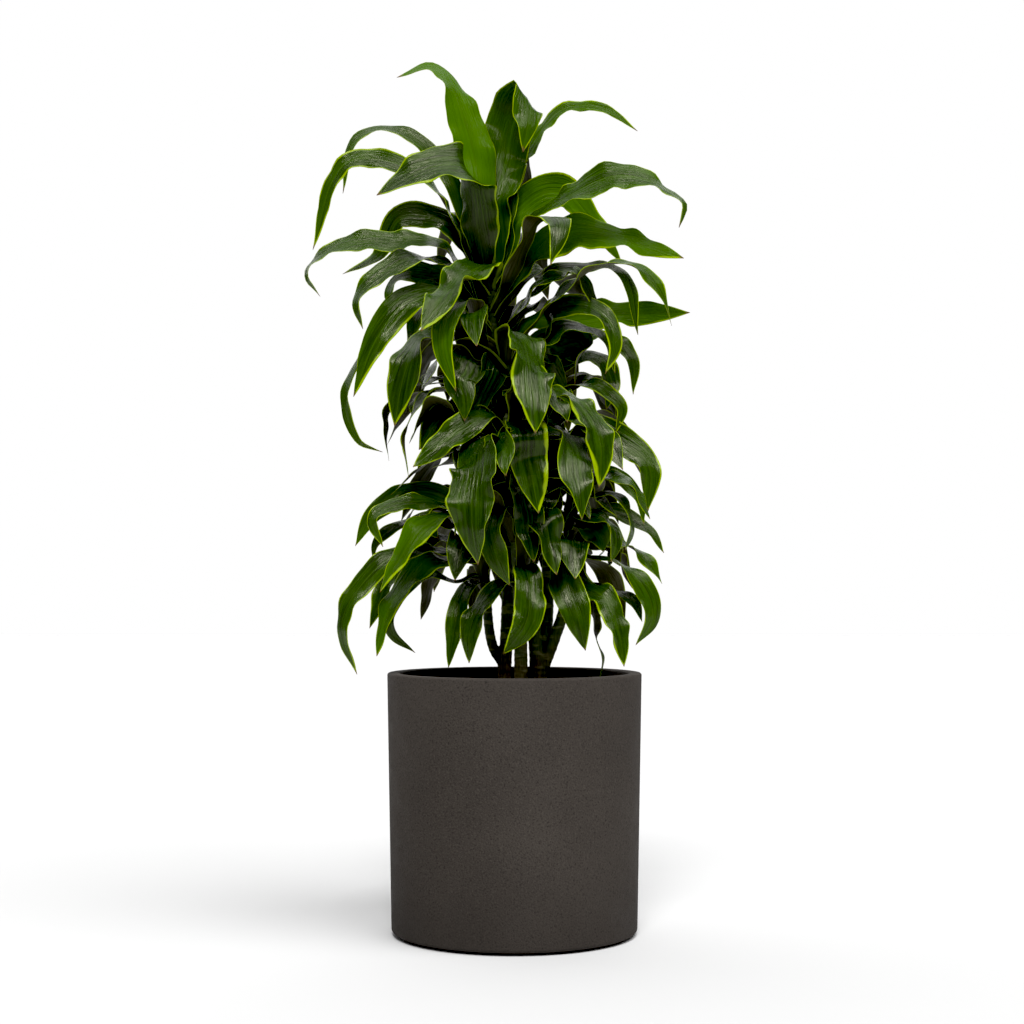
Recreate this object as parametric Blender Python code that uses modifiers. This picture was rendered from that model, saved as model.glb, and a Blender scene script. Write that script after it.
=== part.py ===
"""A dracaena with lime-edged leaves, growing from three canes in a round stone-grey planter.

The planter stands on z = 0 with its axis on Z, and the plant's front faces -Y.
Six leafy shoots grow from the canes. Every leaf is its own blade, seated on its shoot.
Sizes in the tables are centimetres: CM turns them into metres.
"""

import math

import bmesh
import bpy
import numpy as np

CM = 0.01
GAP = 0.03  # clearance between pieces that touch

# Planter
POT_HEIGHT = 31.8
RIM_RADIUS = 15.5
BASE_RADIUS = 15.0
WALL = 1.6
FLOOR = 2.4
EDGE_ROUND = 0.35
FOOT_RADIUS = 14.1
FOOT_HEIGHT = 0.35
POT_STEPS = 64

# Compost
SOIL_TOP = 28.0
SOIL_CROWN = 0.5  # how much higher the compost is in the middle
SHOULDER = (0.5, 0.7)  # a point of the crown: share of the radius, and of the crown's height there
SOCKET_ABOVE = 2.0  # how far the cutters of the canes' sockets reach above the compost
CANE_DEPTH = 10.0  # how far the canes reach down into it

# Shoots and blades
SHOOT_SIDES = 4  # bevel resolution: 12 sides
SHOOT_POINTS = 14
CANE_SIDES = 20
STATIONS = 13  # cross-sections along a blade
BLADE_THICKNESS = 0.12
ROOT_SHARE = 0.27  # width of a blade at its root, as a share of its widest
TIP_WIDTH = 0.12
WIDEST_FROM, WIDEST_TO = 0.42, 0.5  # where along a blade it is at its widest
SWELL_POWER = 1.4  # higher keeps a blade narrow for longer above its root
TIP_POWER = 2.4  # higher keeps it broad for longer before its tip
TWIST_FROM = 0.06  # where along a blade its twist starts
FOLD = 0.07  # how far the midrib lies below the edges, as a share of the width
FOLD_FULL = 0.2  # where along a blade its fold has reached that
LAUNCH = 24.0  # lean of a blade from its shoot where it starts, in degrees

# How blades lean clear of each other
SETTLE_STATIONS = 2 * STATIONS - 1  # points along a midrib
SAMPLES = 5  # sample points across it
SETTLE_ROUNDS = 60
SMOOTHING = (0.1, 0.25, 0.3, 0.25, 0.1)  # weights of neighbouring points in a move
REACH = 1.0  # how near two sample points must be to count as meeting
SPACING = 0.35  # clearance wanted between blades
MAX_PUSH = 0.5  # furthest that a blade leans in one round
FREE_AFTER = 5.0  # distance from its root from which a blade may lean
ROOT_HOLD = 0.4  # share of that distance in which it can not lean at all

# Each shoot: radius at its foot and at its head, and the points that its axis runs through.
SHOOTS = {
    "top": (0.8, 0.62, [(-1.25, 2.0, 30), (-0.8, 2.5, 44), (-1.7, 2.3, 60), (-2.7, 1.0, 73),
        (-3.0, 0.5, 82)]),
    "upper": (0.85, 0.6, [(2.9, 0.6, 30), (2.5, 0.0, 36), (1.9, -0.5, 46), (0.2, -1.6, 60),
        (-1.1, -2.4, 69), (-1.4, -2.6, 73)]),
    "middle": (0.9, 0.6, [(0.8, -2.0, 18), (0.7, -2.2, 38), (0.0, -3.7, 51), (-0.8, -4.6, 60),
        (-0.9, -4.8, 63)]),
    "rear": (0.85, 0.6, [(2.9, 0.6, 30), (3.8, 1.3, 36), (4.1, 2.4, 44), (4.0, 3.4, 56), (3.5, 3.6, 69)]),
    "left": (0.62, 0.5, [(-1.25, 2.0, 32.6), (-2.5, 1.9, 34.5), (-3.1, 1.7, 37), (-3.5, 1.2, 42),
        (-4.4, 0.1, 50)]),
    "right": (0.8, 0.5, [(2.9, 0.6, 30), (3.5, 0.5, 32.3), (4.9, 0.3, 36), (6.1, -0.3, 40),
        (6.5, -1.2, 52)]),
}

# Each cane: radius, top height, foot position, and the shoots that fork from it.
# The middle cane carries on straight into its one shoot.
CANES = {
    "cane_left": (0.85, 34.4, (-1.25, 2.0), ("top", "left")),
    "cane_middle": (0.9, 22.0, (0.8, -2.0), ("middle",)),
    "cane_right": (1.1, 34.2, (2.9, 0.6), ("upper", "rear", "right")),
}

# Each blade: height of its root on the shoot, direction that it grows in (0 is right, 90 back, -90 front),
# greatest width, twist in degrees at half length and at the tip, and the points that its midrib runs through.
LEAVES = {
    "top": [
        (80.4, 150, 5.2, -30, -25, [(-4.3, 1.6, 91.5), (-6.4, 2.8, 100.6), (-9.8, 4.0, 106.6),
         (-14.6, 3.6, 105.4)]),
        (79.9, 62, 6.4, 25, 40, [(-1.8, 3.4, 91.8), (-0.9, 5.0, 98.8), (1.1, 3.4, 102.8),
         (1.6, 0.8, 99.6), (1.0, -0.2, 95.2)]),
        (79.3, -115, 6.5, -35, -65, [(-4.4, -2.4, 85.4), (-5.0, -4.6, 90.4), (-6.4, -7.4, 92.0),
         (-10.8, -8.9, 91.2), (-16.2, -9.2, 88.2)]),
        (78.7, 15, 2.5, 40, 60, [(-0.4, 4.6, 92.0), (2.2, 6.6, 97.6), (6.0, 7.0, 102.2),
         (11.2, 6.4, 102.2), (15.4, 5.6, 99.2)]),
        (78.1, 152, 2.1, -50, -20, [(-8.2, 3.6, 92.9), (-13.7, 4.6, 98.8), (-19.6, 4.2, 98.0),
         (-21.2, 2.6, 90.8)]),
        (77.5, -165, 2.7, -60, -90, [(-9.0, 1.2, 90.4), (-15.0, 0.4, 94.2), (-21.0, -0.6, 93.4),
         (-24.5, -1.0, 83.2)]),
        (76.9, 58, 4.6, 20, 40, [(1.4, 3.0, 89.6), (6.3, 4.4, 91.2), (9.8, 5.0, 87.6), (13.4, 4.6, 82.5)]),
        (76.3, -20, 4.4, 50, 30, [(0.6, 0.2, 86.4), (5.5, -1.6, 89.0), (13.0, -3.0, 91.8),
         (20.2, -3.4, 88.6), (19.8, -3.6, 85.4)]),
        (75.7, -38, 3.7, 10, 0, [(0.6, -1.6, 82.6), (3.0, -4.0, 86.2), (5.3, -8.4, 85.0),
         (4.2, -10.3, 79.8)]),
        (75.1, 5, 4.9, 55, 60, [(3.5, 1.2, 83.8), (8.2, 1.0, 85.6), (14.2, 0.2, 84.4), (20.6, -1.0, 82.2)]),
        (74.5, 132, 3.3, -20, -40, [(-7.2, 2.4, 85.6), (-13.8, 3.2, 88.2), (-16.9, 3.6, 83.4),
         (-21.3, 3.4, 81.0)]),
        (73.9, -168, 3.5, -60, -20, [(-7.4, 0.2, 82.6), (-14.0, 0.2, 84.2), (-20.4, -0.4, 84.0),
         (-25.2, -1.0, 80.8), (-23.6, -1.6, 77.4)]),
        (73.3, -160, 3.4, -35, -20, [(-7.2, -2.0, 81.6), (-10.6, -3.6, 82.4), (-15.6, -5.4, 79.8),
         (-18.7, -6.4, 76.4), (-18.0, -6.8, 72.8)]),
        (78.4, -104, 5.0, 0, -12, [(-3.2, -3.6, 80.6), (-5.0, -6.6, 79.8), (-8.0, -10.2, 76.4),
         (-10.8, -12.8, 71.8)]),
        (70.3, 25, 4.2, 60, 80, [(5.0, 3.4, 74.8), (10.3, 4.8, 76.0), (15.8, 5.4, 76.4),
         (21.9, 5.0, 76.4)]),
        (69.7, -172, 3.9, -40, -30, [(-7.0, -1.8, 77.2), (-12.3, -4.0, 76.8), (-16.2, -5.6, 72.2),
         (-19.1, -6.8, 64.8)]),
        (68.5, 178, 1.9, -30, -90, [(-9.0, 2.4, 75.6), (-15.6, 2.8, 74.6), (-20.8, 2.4, 66.6),
         (-19.4, 2.0, 60.4), (-16.2, 1.4, 58.8)]),
        (67.9, -138, 3.2, 0, 0, [(-4.4, -4.4, 76.2), (-7.4, -8.8, 74.8), (-8.4, -10.6, 70.4),
         (-6.8, -11.0, 65.0)]),
        (67.3, -5, 3.3, 30, 0, [(3.2, -1.0, 75.2), (8.0, -3.4, 76.2), (11.2, -5.0, 74.0),
         (12.0, -5.8, 70.8), (10.8, -6.0, 67.6)]),
        (71.6, 95, 4.6, 0, 0, [(-2.6, 6.0, 82.5), (-1.6, 13.5, 85.5), (-0.2, 21.0, 77.5)]),
        (69.1, 120, 4.2, 0, 0, [(-5.4, 6.5, 77.0), (-9.5, 12.5, 77.5), (-12.5, 17.5, 68.5)]),
    ],
    "upper": [
        (69.6, -20, 3.6, 30, 20, [(3.8, -3.2, 75.0), (8.8, -4.2, 80.0), (13.8, -4.8, 80.8),
         (17.2, -5.2, 77.8), (18.8, -5.4, 73.4)]),
        (68.9, -85, 5.8, 0, 0, [(-0.4, -5.6, 72.6), (1.2, -8.6, 70.6), (2.0, -13.0, 65.4),
         (2.4, -15.0, 59.8)]),
        (68.2, -150, 5.0, -35, -50, [(-6.0, -4.4, 71.8), (-10.8, -6.2, 71.8), (-12.9, -7.4, 67.8),
         (-14.2, -7.8, 61.2)]),
        (67.5, -5, 3.2, 30, 20, [(3.2, -2.0, 72.6), (7.0, -2.4, 73.6), (10.6, -2.4, 72.4),
         (12.2, -2.6, 68.0)]),
        (65.6, -35, 4.4, 12, 25, [(3.8, -5.0, 65.8), (7.7, -7.2, 63.8), (10.1, -8.6, 59.2),
         (9.8, -9.2, 53.8)]),
        (64.6, -150, 3.0, 0, 0, [(-5.6, -3.4, 66.4), (-9.4, -5.2, 65.8), (-12.9, -6.6, 61.0),
         (-12.6, -7.0, 55.2)]),
        (60.8, -45, 4.7, 0, 0, [(3.4, -4.4, 61.6), (6.2, -7.0, 60.0), (7.3, -11.0, 55.0),
         (7.8, -12.5, 50.0)]),
    ],
    "middle": [
        (60.6, -165, 3.5, -30, -40, [(-2.8, -6.0, 62.8), (-5.8, -8.4, 61.3), (-11.8, -11.4, 56.2)]),
        (58.9, -108, 6.4, 0, 0, [(-2.8, -8.0, 60.2), (-4.0, -12.0, 57.6), (-4.9, -15.0, 51.4),
         (-4.2, -15.5, 44.8)]),
        (59.8, -62, 4.7, 0, 0, [(0.4, -7.6, 61.6), (1.5, -10.2, 57.8), (2.8, -11.4, 50.8)]),
        (57.6, 176, 4.4, -40, -60, [(-4.8, -3.6, 62.4), (-8.4, -4.6, 62.6), (-11.4, -5.4, 58.6)]),
        (50.6, -118, 3.3, 0, 0, [(-1.9, -6.6, 51.4), (-2.8, -8.8, 49.2), (-2.1, -9.6, 45.8),
         (-0.6, -9.8, 42.4)]),
        (43.6, -80, 3.8, 0, -10, [(1.2, -6.4, 44.6), (1.7, -8.6, 42.4), (1.4, -10.0, 38.2),
         (-1.3, -10.6, 34.4)]),
        (42.2, -150, 3.0, 0, -20, [(-1.6, -4.6, 42.6), (-4.0, -6.0, 40.2), (-5.3, -6.8, 37.0),
         (-5.4, -7.0, 33.2)]),
    ],
    "rear": [
        (67.0, 25, 2.2, 20, 60, [(6.6, 4.2, 71.6), (11.2, 4.4, 73.6), (14.6, 3.8, 70.6),
         (14.7, 3.0, 66.0)]),
        (66.0, 5, 3.0, 30, 60, [(6.2, 2.6, 69.6), (9.8, 2.4, 70.8), (12.0, 2.0, 68.0), (11.3, 1.4, 64.0)]),
        (64.6, -25, 2.0, 30, 90, [(6.4, 1.4, 66.8), (9.8, 0.6, 66.6), (13.0, 0.2, 64.4),
         (12.4, 0.0, 61.0)]),
        (62.6, 0, 3.6, 40, 40, [(7.2, 1.6, 63.2), (12.0, 0.4, 60.8), (16.2, -0.8, 57.2),
         (16.2, -1.4, 51.4)]),
        (65.3, 80, 4.4, 0, 0, [(4.4, 8.0, 71.5), (5.8, 14.5, 71.5), (7.2, 19.5, 62.5)]),
        (54.2, 60, 4.0, 0, 0, [(6.5, 8.0, 58.0), (9.6, 13.5, 56.5), (12.0, 17.5, 48.0)]),
    ],
    "left": [
        (48.4, 148, 2.9, -50, -40, [(-7.8, 0.6, 52.6), (-12.2, 0.0, 53.8), (-17.0, -1.2, 51.2),
         (-19.3, -1.8, 47.2)]),
        (47.9, -152, 2.4, -30, -60, [(-7.4, -2.2, 51.6), (-12.3, -4.4, 52.4), (-16.8, -5.8, 50.6),
         (-15.6, -6.6, 47.0)]),
        (47.3, -140, 3.5, 0, -10, [(-6.8, -4.2, 50.6), (-10.6, -7.2, 49.6), (-13.7, -9.0, 45.2),
         (-15.8, -10.0, 41.6)]),
        (46.0, 165, 3.2, -20, -30, [(-6.8, 0.8, 47.2), (-9.6, 0.6, 48.2), (-14.0, -0.6, 45.8),
         (-17.6, -1.6, 37.2)]),
        (45.2, -172, 2.8, -20, -10, [(-8.4, -3.0, 46.6), (-14.2, -5.6, 46.0), (-18.8, -7.0, 41.6),
         (-20.4, -7.6, 37.4), (-18.6, -7.8, 31.9)]),
        (44.2, -158, 3.9, -10, -20, [(-7.4, -1.8, 45.2), (-11.4, -3.6, 44.2), (-14.9, -5.4, 39.8),
         (-16.4, -6.2, 34.0)]),
        (41.8, -135, 2.5, 0, 0, [(-5.6, -2.2, 42.4), (-6.8, -4.2, 39.4), (-7.4, -5.0, 36.0),
         (-7.9, -5.4, 32.6)]),
        (45.6, 110, 3.6, 0, 0, [(-6.0, 5.5, 50.5), (-8.6, 11.5, 50.0), (-10.5, 16.0, 41.5)]),
    ],
    "right": [
        (50.4, -28, 2.5, 0, 0, [(8.8, -3.6, 53.0), (12.0, -4.8, 53.2), (14.1, -5.4, 49.8),
         (13.2, -5.8, 46.6)]),
        (48.6, 8, 2.5, 30, 40, [(8.8, -0.4, 47.8), (13.4, -0.4, 47.4), (16.4, -0.8, 45.2),
         (18.0, -1.0, 42.6)]),
        (46.6, -8, 2.8, 30, 60, [(8.6, -1.6, 45.8), (12.0, -2.4, 45.4), (15.6, -3.0, 42.2),
         (16.6, -3.2, 38.6), (14.6, -3.4, 35.2)]),
        (45.4, -72, 4.0, 0, 0, [(5.9, -5.0, 45.0), (6.1, -7.4, 42.6), (7.3, -8.8, 39.2),
         (8.3, -9.4, 34.8)]),
        (44.4, -25, 3.4, 0, 0, [(8.4, -3.6, 42.4), (10.8, -5.4, 40.8), (12.4, -6.6, 36.8),
         (13.0, -7.0, 32.8)]),
        (42.4, 15, 2.3, 0, 60, [(8.4, 0.4, 43.0), (9.8, 0.8, 40.6), (10.0, 0.8, 36.2),
         (10.8, 0.4, 33.4), (10.4, 0.0, 30.8)]),
    ],
}

GREENS = {
    "top": (0.16, 0.22, 0.05),
    "upper": (0.08, 0.13, 0.035),
    "middle": (0.05, 0.085, 0.03),
    "rear": (0.06, 0.10, 0.03),
    "left": (0.09, 0.14, 0.035),
    "right": (0.08, 0.12, 0.035),
}


def curve_through(points, first_slope=None, step=0.25):
    """Points about step apart on a smooth curve through the given ones, which sets off along first_slope."""
    points = [np.array(p, float) for p in points]
    slopes = []
    for i, point in enumerate(points):
        before, after = points[max(i - 1, 0)], points[min(i + 1, len(points) - 1)]
        slopes.append((after - before) / np.linalg.norm(after - before))
    if first_slope is not None:
        slopes[0] = np.array(first_slope)
    line = [points[0]]
    for i in range(len(points) - 1):
        a, b = points[i], points[i + 1]
        chord = np.linalg.norm(b - a)
        count = max(2, math.ceil(chord / step))
        for t in np.arange(1, count + 1) / count:
            line.append(
                (2 * t**3 - 3 * t**2 + 1) * a
                + (t**3 - 2 * t**2 + t) * chord * slopes[i]
                + (3 * t**2 - 2 * t**3) * b
                + (t**3 - t**2) * chord * slopes[i + 1]
            )
    return np.array(line)


def spaced(line, count):
    """count points evenly spaced along a line."""
    along = np.concatenate([[0], np.cumsum(np.linalg.norm(np.diff(line, axis=0), axis=1))])
    at = np.linspace(0, along[-1], count)
    return np.stack([np.interp(at, along, line[:, k]) for k in range(3)], axis=1)


def frames(line, side):
    """The direction along a line and the blade's side at each of its points, carried on from the first."""
    ahead = np.gradient(line, axis=0)
    ahead /= np.linalg.norm(ahead, axis=1)[:, None]
    sides = []
    for tangent in ahead:
        side = side - tangent * np.dot(side, tangent)
        side = side / np.linalg.norm(side)
        sides.append(side)
    return ahead, np.array(sides)


def twisted(ahead, sides, half, tip):
    """The sides turned about the midrib: by none at the root, half degrees halfway and tip at the end."""
    share = np.linspace(0, 1, len(sides))
    angles = np.radians(np.interp(share, [TWIST_FROM, 0.5, 1.0], [0, half, tip]))[:, None]
    return np.cos(angles) * sides + np.sin(angles) * np.cross(ahead, sides)


def width_shape(share):
    """Width of a blade along its length, as a share of its widest: narrow, full, then a long tip."""
    swell = np.sin(np.pi / 2 * np.clip(share / WIDEST_FROM, 0, 1))
    rise = ROOT_SHARE + (1 - ROOT_SHARE) * swell**SWELL_POWER
    fall = 1 - np.clip((share - WIDEST_TO) / (1 - WIDEST_TO), 0, 1) ** TIP_POWER
    return rise * fall


class Blade:
    """One leaf: its midrib as evenly spaced points, and the direction that its width lies in at each."""

    def __init__(self, shoot, leaf):
        height, heading, self.width, self.half_twist, self.tip_twist, self.via = leaf
        foot, head, points = SHOOTS[shoot]
        axis = curve_through(points)
        near = int(np.argmin(np.abs(axis[:, 2] - height)))
        up = axis[min(near + 1, len(axis) - 1)] - axis[near - 1]
        up /= np.linalg.norm(up)
        out = np.array([math.cos(math.radians(heading)), math.sin(math.radians(heading)), 0])
        radius = foot + (head - foot) * near / len(axis)
        self.side = np.cross(up, out)
        launch = math.radians(LAUNCH)
        root = axis[near] + out * (radius + GAP + BLADE_THICKNESS / 2)
        line = curve_through([root, *self.via], up * math.cos(launch) + out * math.sin(launch))
        self.length = np.linalg.norm(np.diff(line, axis=0), axis=1).sum()
        self.line = spaced(line, SETTLE_STATIONS)
        self.place()

    def place(self):
        """Work out the sides, normals and sample points from the midrib."""
        ahead, sides = frames(self.line, self.side)
        self.sides = twisted(ahead, sides, self.half_twist, self.tip_twist)
        self.normals = np.cross(ahead, self.sides)
        widths = self.width * width_shape(np.linspace(0, 1, len(self.line)))
        across = np.linspace(-0.5, 0.5, SAMPLES)[:, None]
        self.points = (self.line[:, None] + (self.sides * widths[:, None])[:, None] * across).reshape(-1, 3)
        self.point_normals = np.repeat(self.normals, SAMPLES, axis=0)


def settle(blades):
    """Lean blades away from each other and from the shoots until all lie clear."""
    axes = [(curve_through(points, step=1.0), max(foot, head)) for foot, head, points in SHOOTS.values()]
    for _ in range(SETTLE_ROUNDS):
        moves = [np.zeros((SETTLE_STATIONS, 3)) for _ in blades]
        boxes = [(b.points.min(axis=0) - REACH / 2, b.points.max(axis=0) + REACH / 2) for b in blades]
        for i, blade in enumerate(blades):
            for j in range(i + 1, len(blades)):
                if (boxes[i][0] < boxes[j][1]).all() and (boxes[j][0] < boxes[i][1]).all():
                    push_apart(blade, blades[j], moves[i], moves[j])
        for blade, move in zip(blades, moves):
            for axis, radius in axes:
                keep_off(blade, axis, radius, move)
            gone = np.linspace(0, blade.length, SETTLE_STATIONS)
            free = np.clip(gone / FREE_AFTER - ROOT_HOLD, 0, 1)[:, None]
            padded = np.pad(move * free, ((2, 2), (0, 0)), mode="edge")
            smooth = sum(k * padded[n : n + SETTLE_STATIONS] for n, k in enumerate(SMOOTHING))
            blade.line = blade.line + smooth * free
            blade.place()


def push_apart(one, other, move_one, move_other):
    """Add to two blades' moves what takes them SPACING apart wherever they meet."""
    offsets = one.points[:, None] - other.points[None]
    mine, theirs = np.nonzero(np.einsum("ijk,ijk->ij", offsets, offsets) < REACH**2)
    if not len(mine):
        return
    normals = other.point_normals[theirs]
    apart = (offsets[mine, theirs] * normals).sum(axis=1)
    at_one, at_other = mine // SAMPLES, theirs // SAMPLES
    for run in np.split(np.arange(len(mine)), np.flatnonzero(np.diff(at_one) > 2) + 1):
        way = 1.0 if apart[run].sum() >= 0 else -1.0
        short = np.clip(SPACING - way * apart[run], 0, MAX_PUSH) / 2
        widen(move_one, at_one[run], way * short[:, None] * normals[run])
        widen(move_other, at_other[run], -way * short[:, None] * normals[run])


def widen(moves, stations, pushes):
    """Put each push in the place of its station's move where it is the longer of the two."""
    longest = np.argsort(np.linalg.norm(pushes, axis=1), kind="stable")
    found = np.zeros_like(moves)
    found[stations[longest]] = pushes[longest]
    longer = np.linalg.norm(found, axis=1) > np.linalg.norm(moves, axis=1)
    moves[longer] = found[longer]


def keep_off(blade, axis, radius, moves):
    """Add to a blade's moves what keeps it clear of a shoot."""
    low, high = blade.points.min(axis=0) - REACH, blade.points.max(axis=0) + REACH
    if (low > axis.max(axis=0)).any() or (high < axis.min(axis=0)).any():
        return
    offsets = blade.points[:, None] - axis[None]
    gaps = np.linalg.norm(offsets, axis=2)
    nearest = gaps.argmin(axis=1)
    rows = np.arange(len(gaps))
    gap = gaps[rows, nearest]
    away = offsets[rows, nearest] / np.maximum(gap, 0.01)[:, None]
    short = np.clip(radius + SPACING - gap, 0, MAX_PUSH)
    widen(moves, rows // SAMPLES, short[:, None] * away)


def material(name, colour, roughness):
    """A plain Principled material."""
    made = bpy.data.materials.new(name)
    made.use_nodes = True
    shader = made.node_tree.nodes["Principled BSDF"]
    shader.inputs["Base Color"].default_value = (*colour, 1)
    shader.inputs["Roughness"].default_value = roughness
    shader.inputs["Metallic"].default_value = 0.0
    return made


def add_mesh(name, verts, edges, faces, collection):
    """A mesh object from coordinates in centimetres."""
    mesh = bpy.data.meshes.new(name)
    mesh.from_pydata([tuple(CM * float(c) for c in v) for v in verts], edges, faces)
    made = bpy.data.objects.new(name, mesh)
    collection.objects.link(made)
    return made


def add_turned(name, profile, collection):
    """A solid of revolution about Z, from (radius, height) points that start and end on the axis."""
    verts = [(r, 0, z) for r, z in profile]
    made = add_mesh(name, verts, [(n, n + 1) for n in range(len(verts) - 1)], [], collection)
    screw = made.modifiers.new("turn", "SCREW")
    screw.steps = screw.render_steps = POT_STEPS
    screw.use_merge_vertices = True
    screw.merge_threshold = 0.00001
    screw.use_normal_calculate = True
    return made


def rounded(corner, before, after, size):
    """Two points that cut a profile's corner on its way from before to after."""
    corner, before, after = (np.array(p, float) for p in (corner, before, after))
    back, on = before - corner, after - corner
    return [tuple(corner + way / np.linalg.norm(way) * size) for way in (back, on)]


def add_pot(collection):
    """The planter: a slightly tapered cylinder with a flat rim, standing on a recessed foot."""
    top_inner, low_inner = RIM_RADIUS - WALL, BASE_RADIUS - WALL
    low, high = (BASE_RADIUS, FOOT_HEIGHT), (RIM_RADIUS, POT_HEIGHT)
    inside, floor = (top_inner, POT_HEIGHT), (low_inner, FLOOR)
    foot = [(0, 0), (FOOT_RADIUS, 0), (FOOT_RADIUS, FOOT_HEIGHT)]
    profile = foot + rounded(low, foot[-1], high, EDGE_ROUND) + rounded(high, low, inside, EDGE_ROUND)
    profile += rounded(inside, high, floor, EDGE_ROUND) + [floor, (0, FLOOR)]
    pot = add_turned("pot", profile, collection)
    pot.data.materials.append(material("pot_grey", (0.056, 0.049, 0.043), 0.75))


def add_cylinder(name, radius, low, high, at, collection):
    """A plain upright cylinder between two heights."""
    mesh = bpy.data.meshes.new(name)
    bm = bmesh.new()
    wide, tall = radius * CM, (high - low) * CM
    made = bmesh.ops.create_cone(
        bm, cap_ends=True, segments=CANE_SIDES, radius1=wide, radius2=wide, depth=tall
    )
    shift = (at[0] * CM, at[1] * CM, (low + high) / 2 * CM)
    bmesh.ops.translate(bm, verts=made["verts"], vec=shift)
    bm.to_mesh(mesh)
    bm.free()
    cylinder = bpy.data.objects.new(name, mesh)
    collection.objects.link(cylinder)
    return cylinder


def combine(target, other, operation):
    """An exact Boolean of a target object with another."""
    boolean = target.modifiers.new(operation.lower(), "BOOLEAN")
    boolean.operation = operation
    boolean.solver = "EXACT"
    boolean.object = other


def hide(cutter):
    """Keep a construction object out of renders and drawn as wire."""
    cutter.hide_render = True
    cutter.display_type = "WIRE"


def add_soil(collection, cutters):
    """The compost, which fills the planter to SOIL_TOP around the canes' feet."""
    taper = (RIM_RADIUS - BASE_RADIUS) / POT_HEIGHT
    low = FLOOR + GAP
    bottom = BASE_RADIUS - WALL - GAP
    top = bottom + taper * (SOIL_TOP - low) - GAP
    profile = [(0, low), (bottom, low), (top, SOIL_TOP)]
    profile.append((top * SHOULDER[0], SOIL_TOP + SOIL_CROWN * SHOULDER[1]))
    soil = add_turned("soil", profile + [(0, SOIL_TOP + SOIL_CROWN)], collection)
    soil.data.materials.append(material("compost", (0.016, 0.011, 0.008), 0.95))
    for name, (radius, _, at, _) in CANES.items():
        low, high = SOIL_TOP - CANE_DEPTH - GAP, SOIL_TOP + SOCKET_ABOVE
        socket = add_cylinder(f"socket_{name}", radius + GAP, low, high, at, cutters)
        hide(socket)
        combine(soil, socket, "DIFFERENCE")


def add_shoot(name, collection):
    """A shoot's stem as a mesh: a tapering tube along its axis, with rounded-off ends left flat."""
    foot, head, points = SHOOTS[name]
    axis = spaced(curve_through(points), SHOOT_POINTS)
    curve = bpy.data.curves.new(f"shoot_{name}", "CURVE")
    curve.dimensions = "3D"
    curve.bevel_depth = CM
    curve.bevel_resolution = SHOOT_SIDES
    curve.use_fill_caps = True
    spline = curve.splines.new("POLY")
    spline.points.add(SHOOT_POINTS - 1)
    for n, (point, at) in enumerate(zip(spline.points, axis)):
        point.co = (*(at * CM), 1)
        point.radius = foot + (head - foot) * n / (SHOOT_POINTS - 1)
    source = bpy.data.objects.new(f"shoot_{name}_curve", curve)
    collection.objects.link(source)
    mesh = bpy.data.meshes.new_from_object(source.evaluated_get(bpy.context.evaluated_depsgraph_get()))
    bpy.data.objects.remove(source)
    bm = bmesh.new()
    bm.from_mesh(mesh)
    bmesh.ops.remove_doubles(bm, verts=bm.verts, dist=0.00001)
    bmesh.ops.recalc_face_normals(bm, faces=bm.faces)
    bm.to_mesh(mesh)
    bm.free()
    shoot = bpy.data.objects.new(f"shoot_{name}", mesh)
    collection.objects.link(shoot)
    return shoot


def add_canes(collection, cutters):
    """The woody canes, each of one piece with the leafy shoots that fork from it."""
    bark = material("bark", (0.07, 0.055, 0.03), 0.8)
    for name, (radius, top, at, shoots) in CANES.items():
        cane = add_cylinder(name, radius, SOIL_TOP - CANE_DEPTH, top, at, collection)
        cane.data.materials.append(bark)
        for shoot_name in shoots:
            shoot = add_shoot(shoot_name, cutters)
            hide(shoot)
            combine(cane, shoot, "UNION")


def add_leaf(name, blade, green, collection):
    """One blade: an open strip with a shallow fold along its midrib, thickened by Solidify."""
    line, sides, normals = blade.line[::2], blade.sides[::2], blade.normals[::2]
    share = np.linspace(0, 1, STATIONS)
    widths = np.maximum(blade.width * width_shape(share), TIP_WIDTH)
    fold = widths * FOLD * np.clip(share / FOLD_FULL, 0, 1)
    verts = []
    for at, side, normal, width, deep in zip(line, sides, normals, widths, fold):
        verts += [at - side * width / 2, at - normal * deep, at + side * width / 2]
    faces = []
    for n in range(STATIONS - 1):
        a = 3 * n
        faces += [(a, a + 1, a + 4, a + 3), (a + 1, a + 2, a + 5, a + 4)]
    leaf = add_mesh(name, verts, [], faces, collection)
    solid = leaf.modifiers.new("thickness", "SOLIDIFY")
    solid.thickness = BLADE_THICKNESS * CM
    solid.offset = 0
    leaf.data.materials.append(green)


def add_leaves(collection):
    """Every blade, leaned clear of its neighbours first."""
    names, blades = [], []
    for shoot, leaves in LEAVES.items():
        for n, leaf in enumerate(leaves, 1):
            names.append((f"leaf_{shoot}_{n:02d}", shoot))
            blades.append(Blade(shoot, leaf))
    settle(blades)
    greens = {shoot: material(f"green_{shoot}", colour, 0.4) for shoot, colour in GREENS.items()}
    for (name, shoot), blade in zip(names, blades):
        add_leaf(name, blade, greens[shoot], collection)


def main():
    for old in list(bpy.data.objects):
        bpy.data.objects.remove(old, do_unlink=True)
    plant = bpy.data.collections.new("potted_dracaena")
    cutters = bpy.data.collections.new("cutters")
    for collection in (plant, cutters):
        bpy.context.scene.collection.children.link(collection)
    add_pot(plant)
    add_soil(plant, cutters)
    add_canes(plant, cutters)
    add_leaves(plant)


main()
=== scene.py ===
"""Looks of a potted dracaena: glossy lime-edged leaves on ringed canes, compost, and a sandy grey planter.

Leaves and shoots are in centimetres, as in the CAD script, so that each fine leaf lies where its CAD blade
lies; CM turns them into metres. The planter and the compost are in metres.
"""

import math

import bmesh
import bpy
import numpy as np
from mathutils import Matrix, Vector, noise


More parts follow.
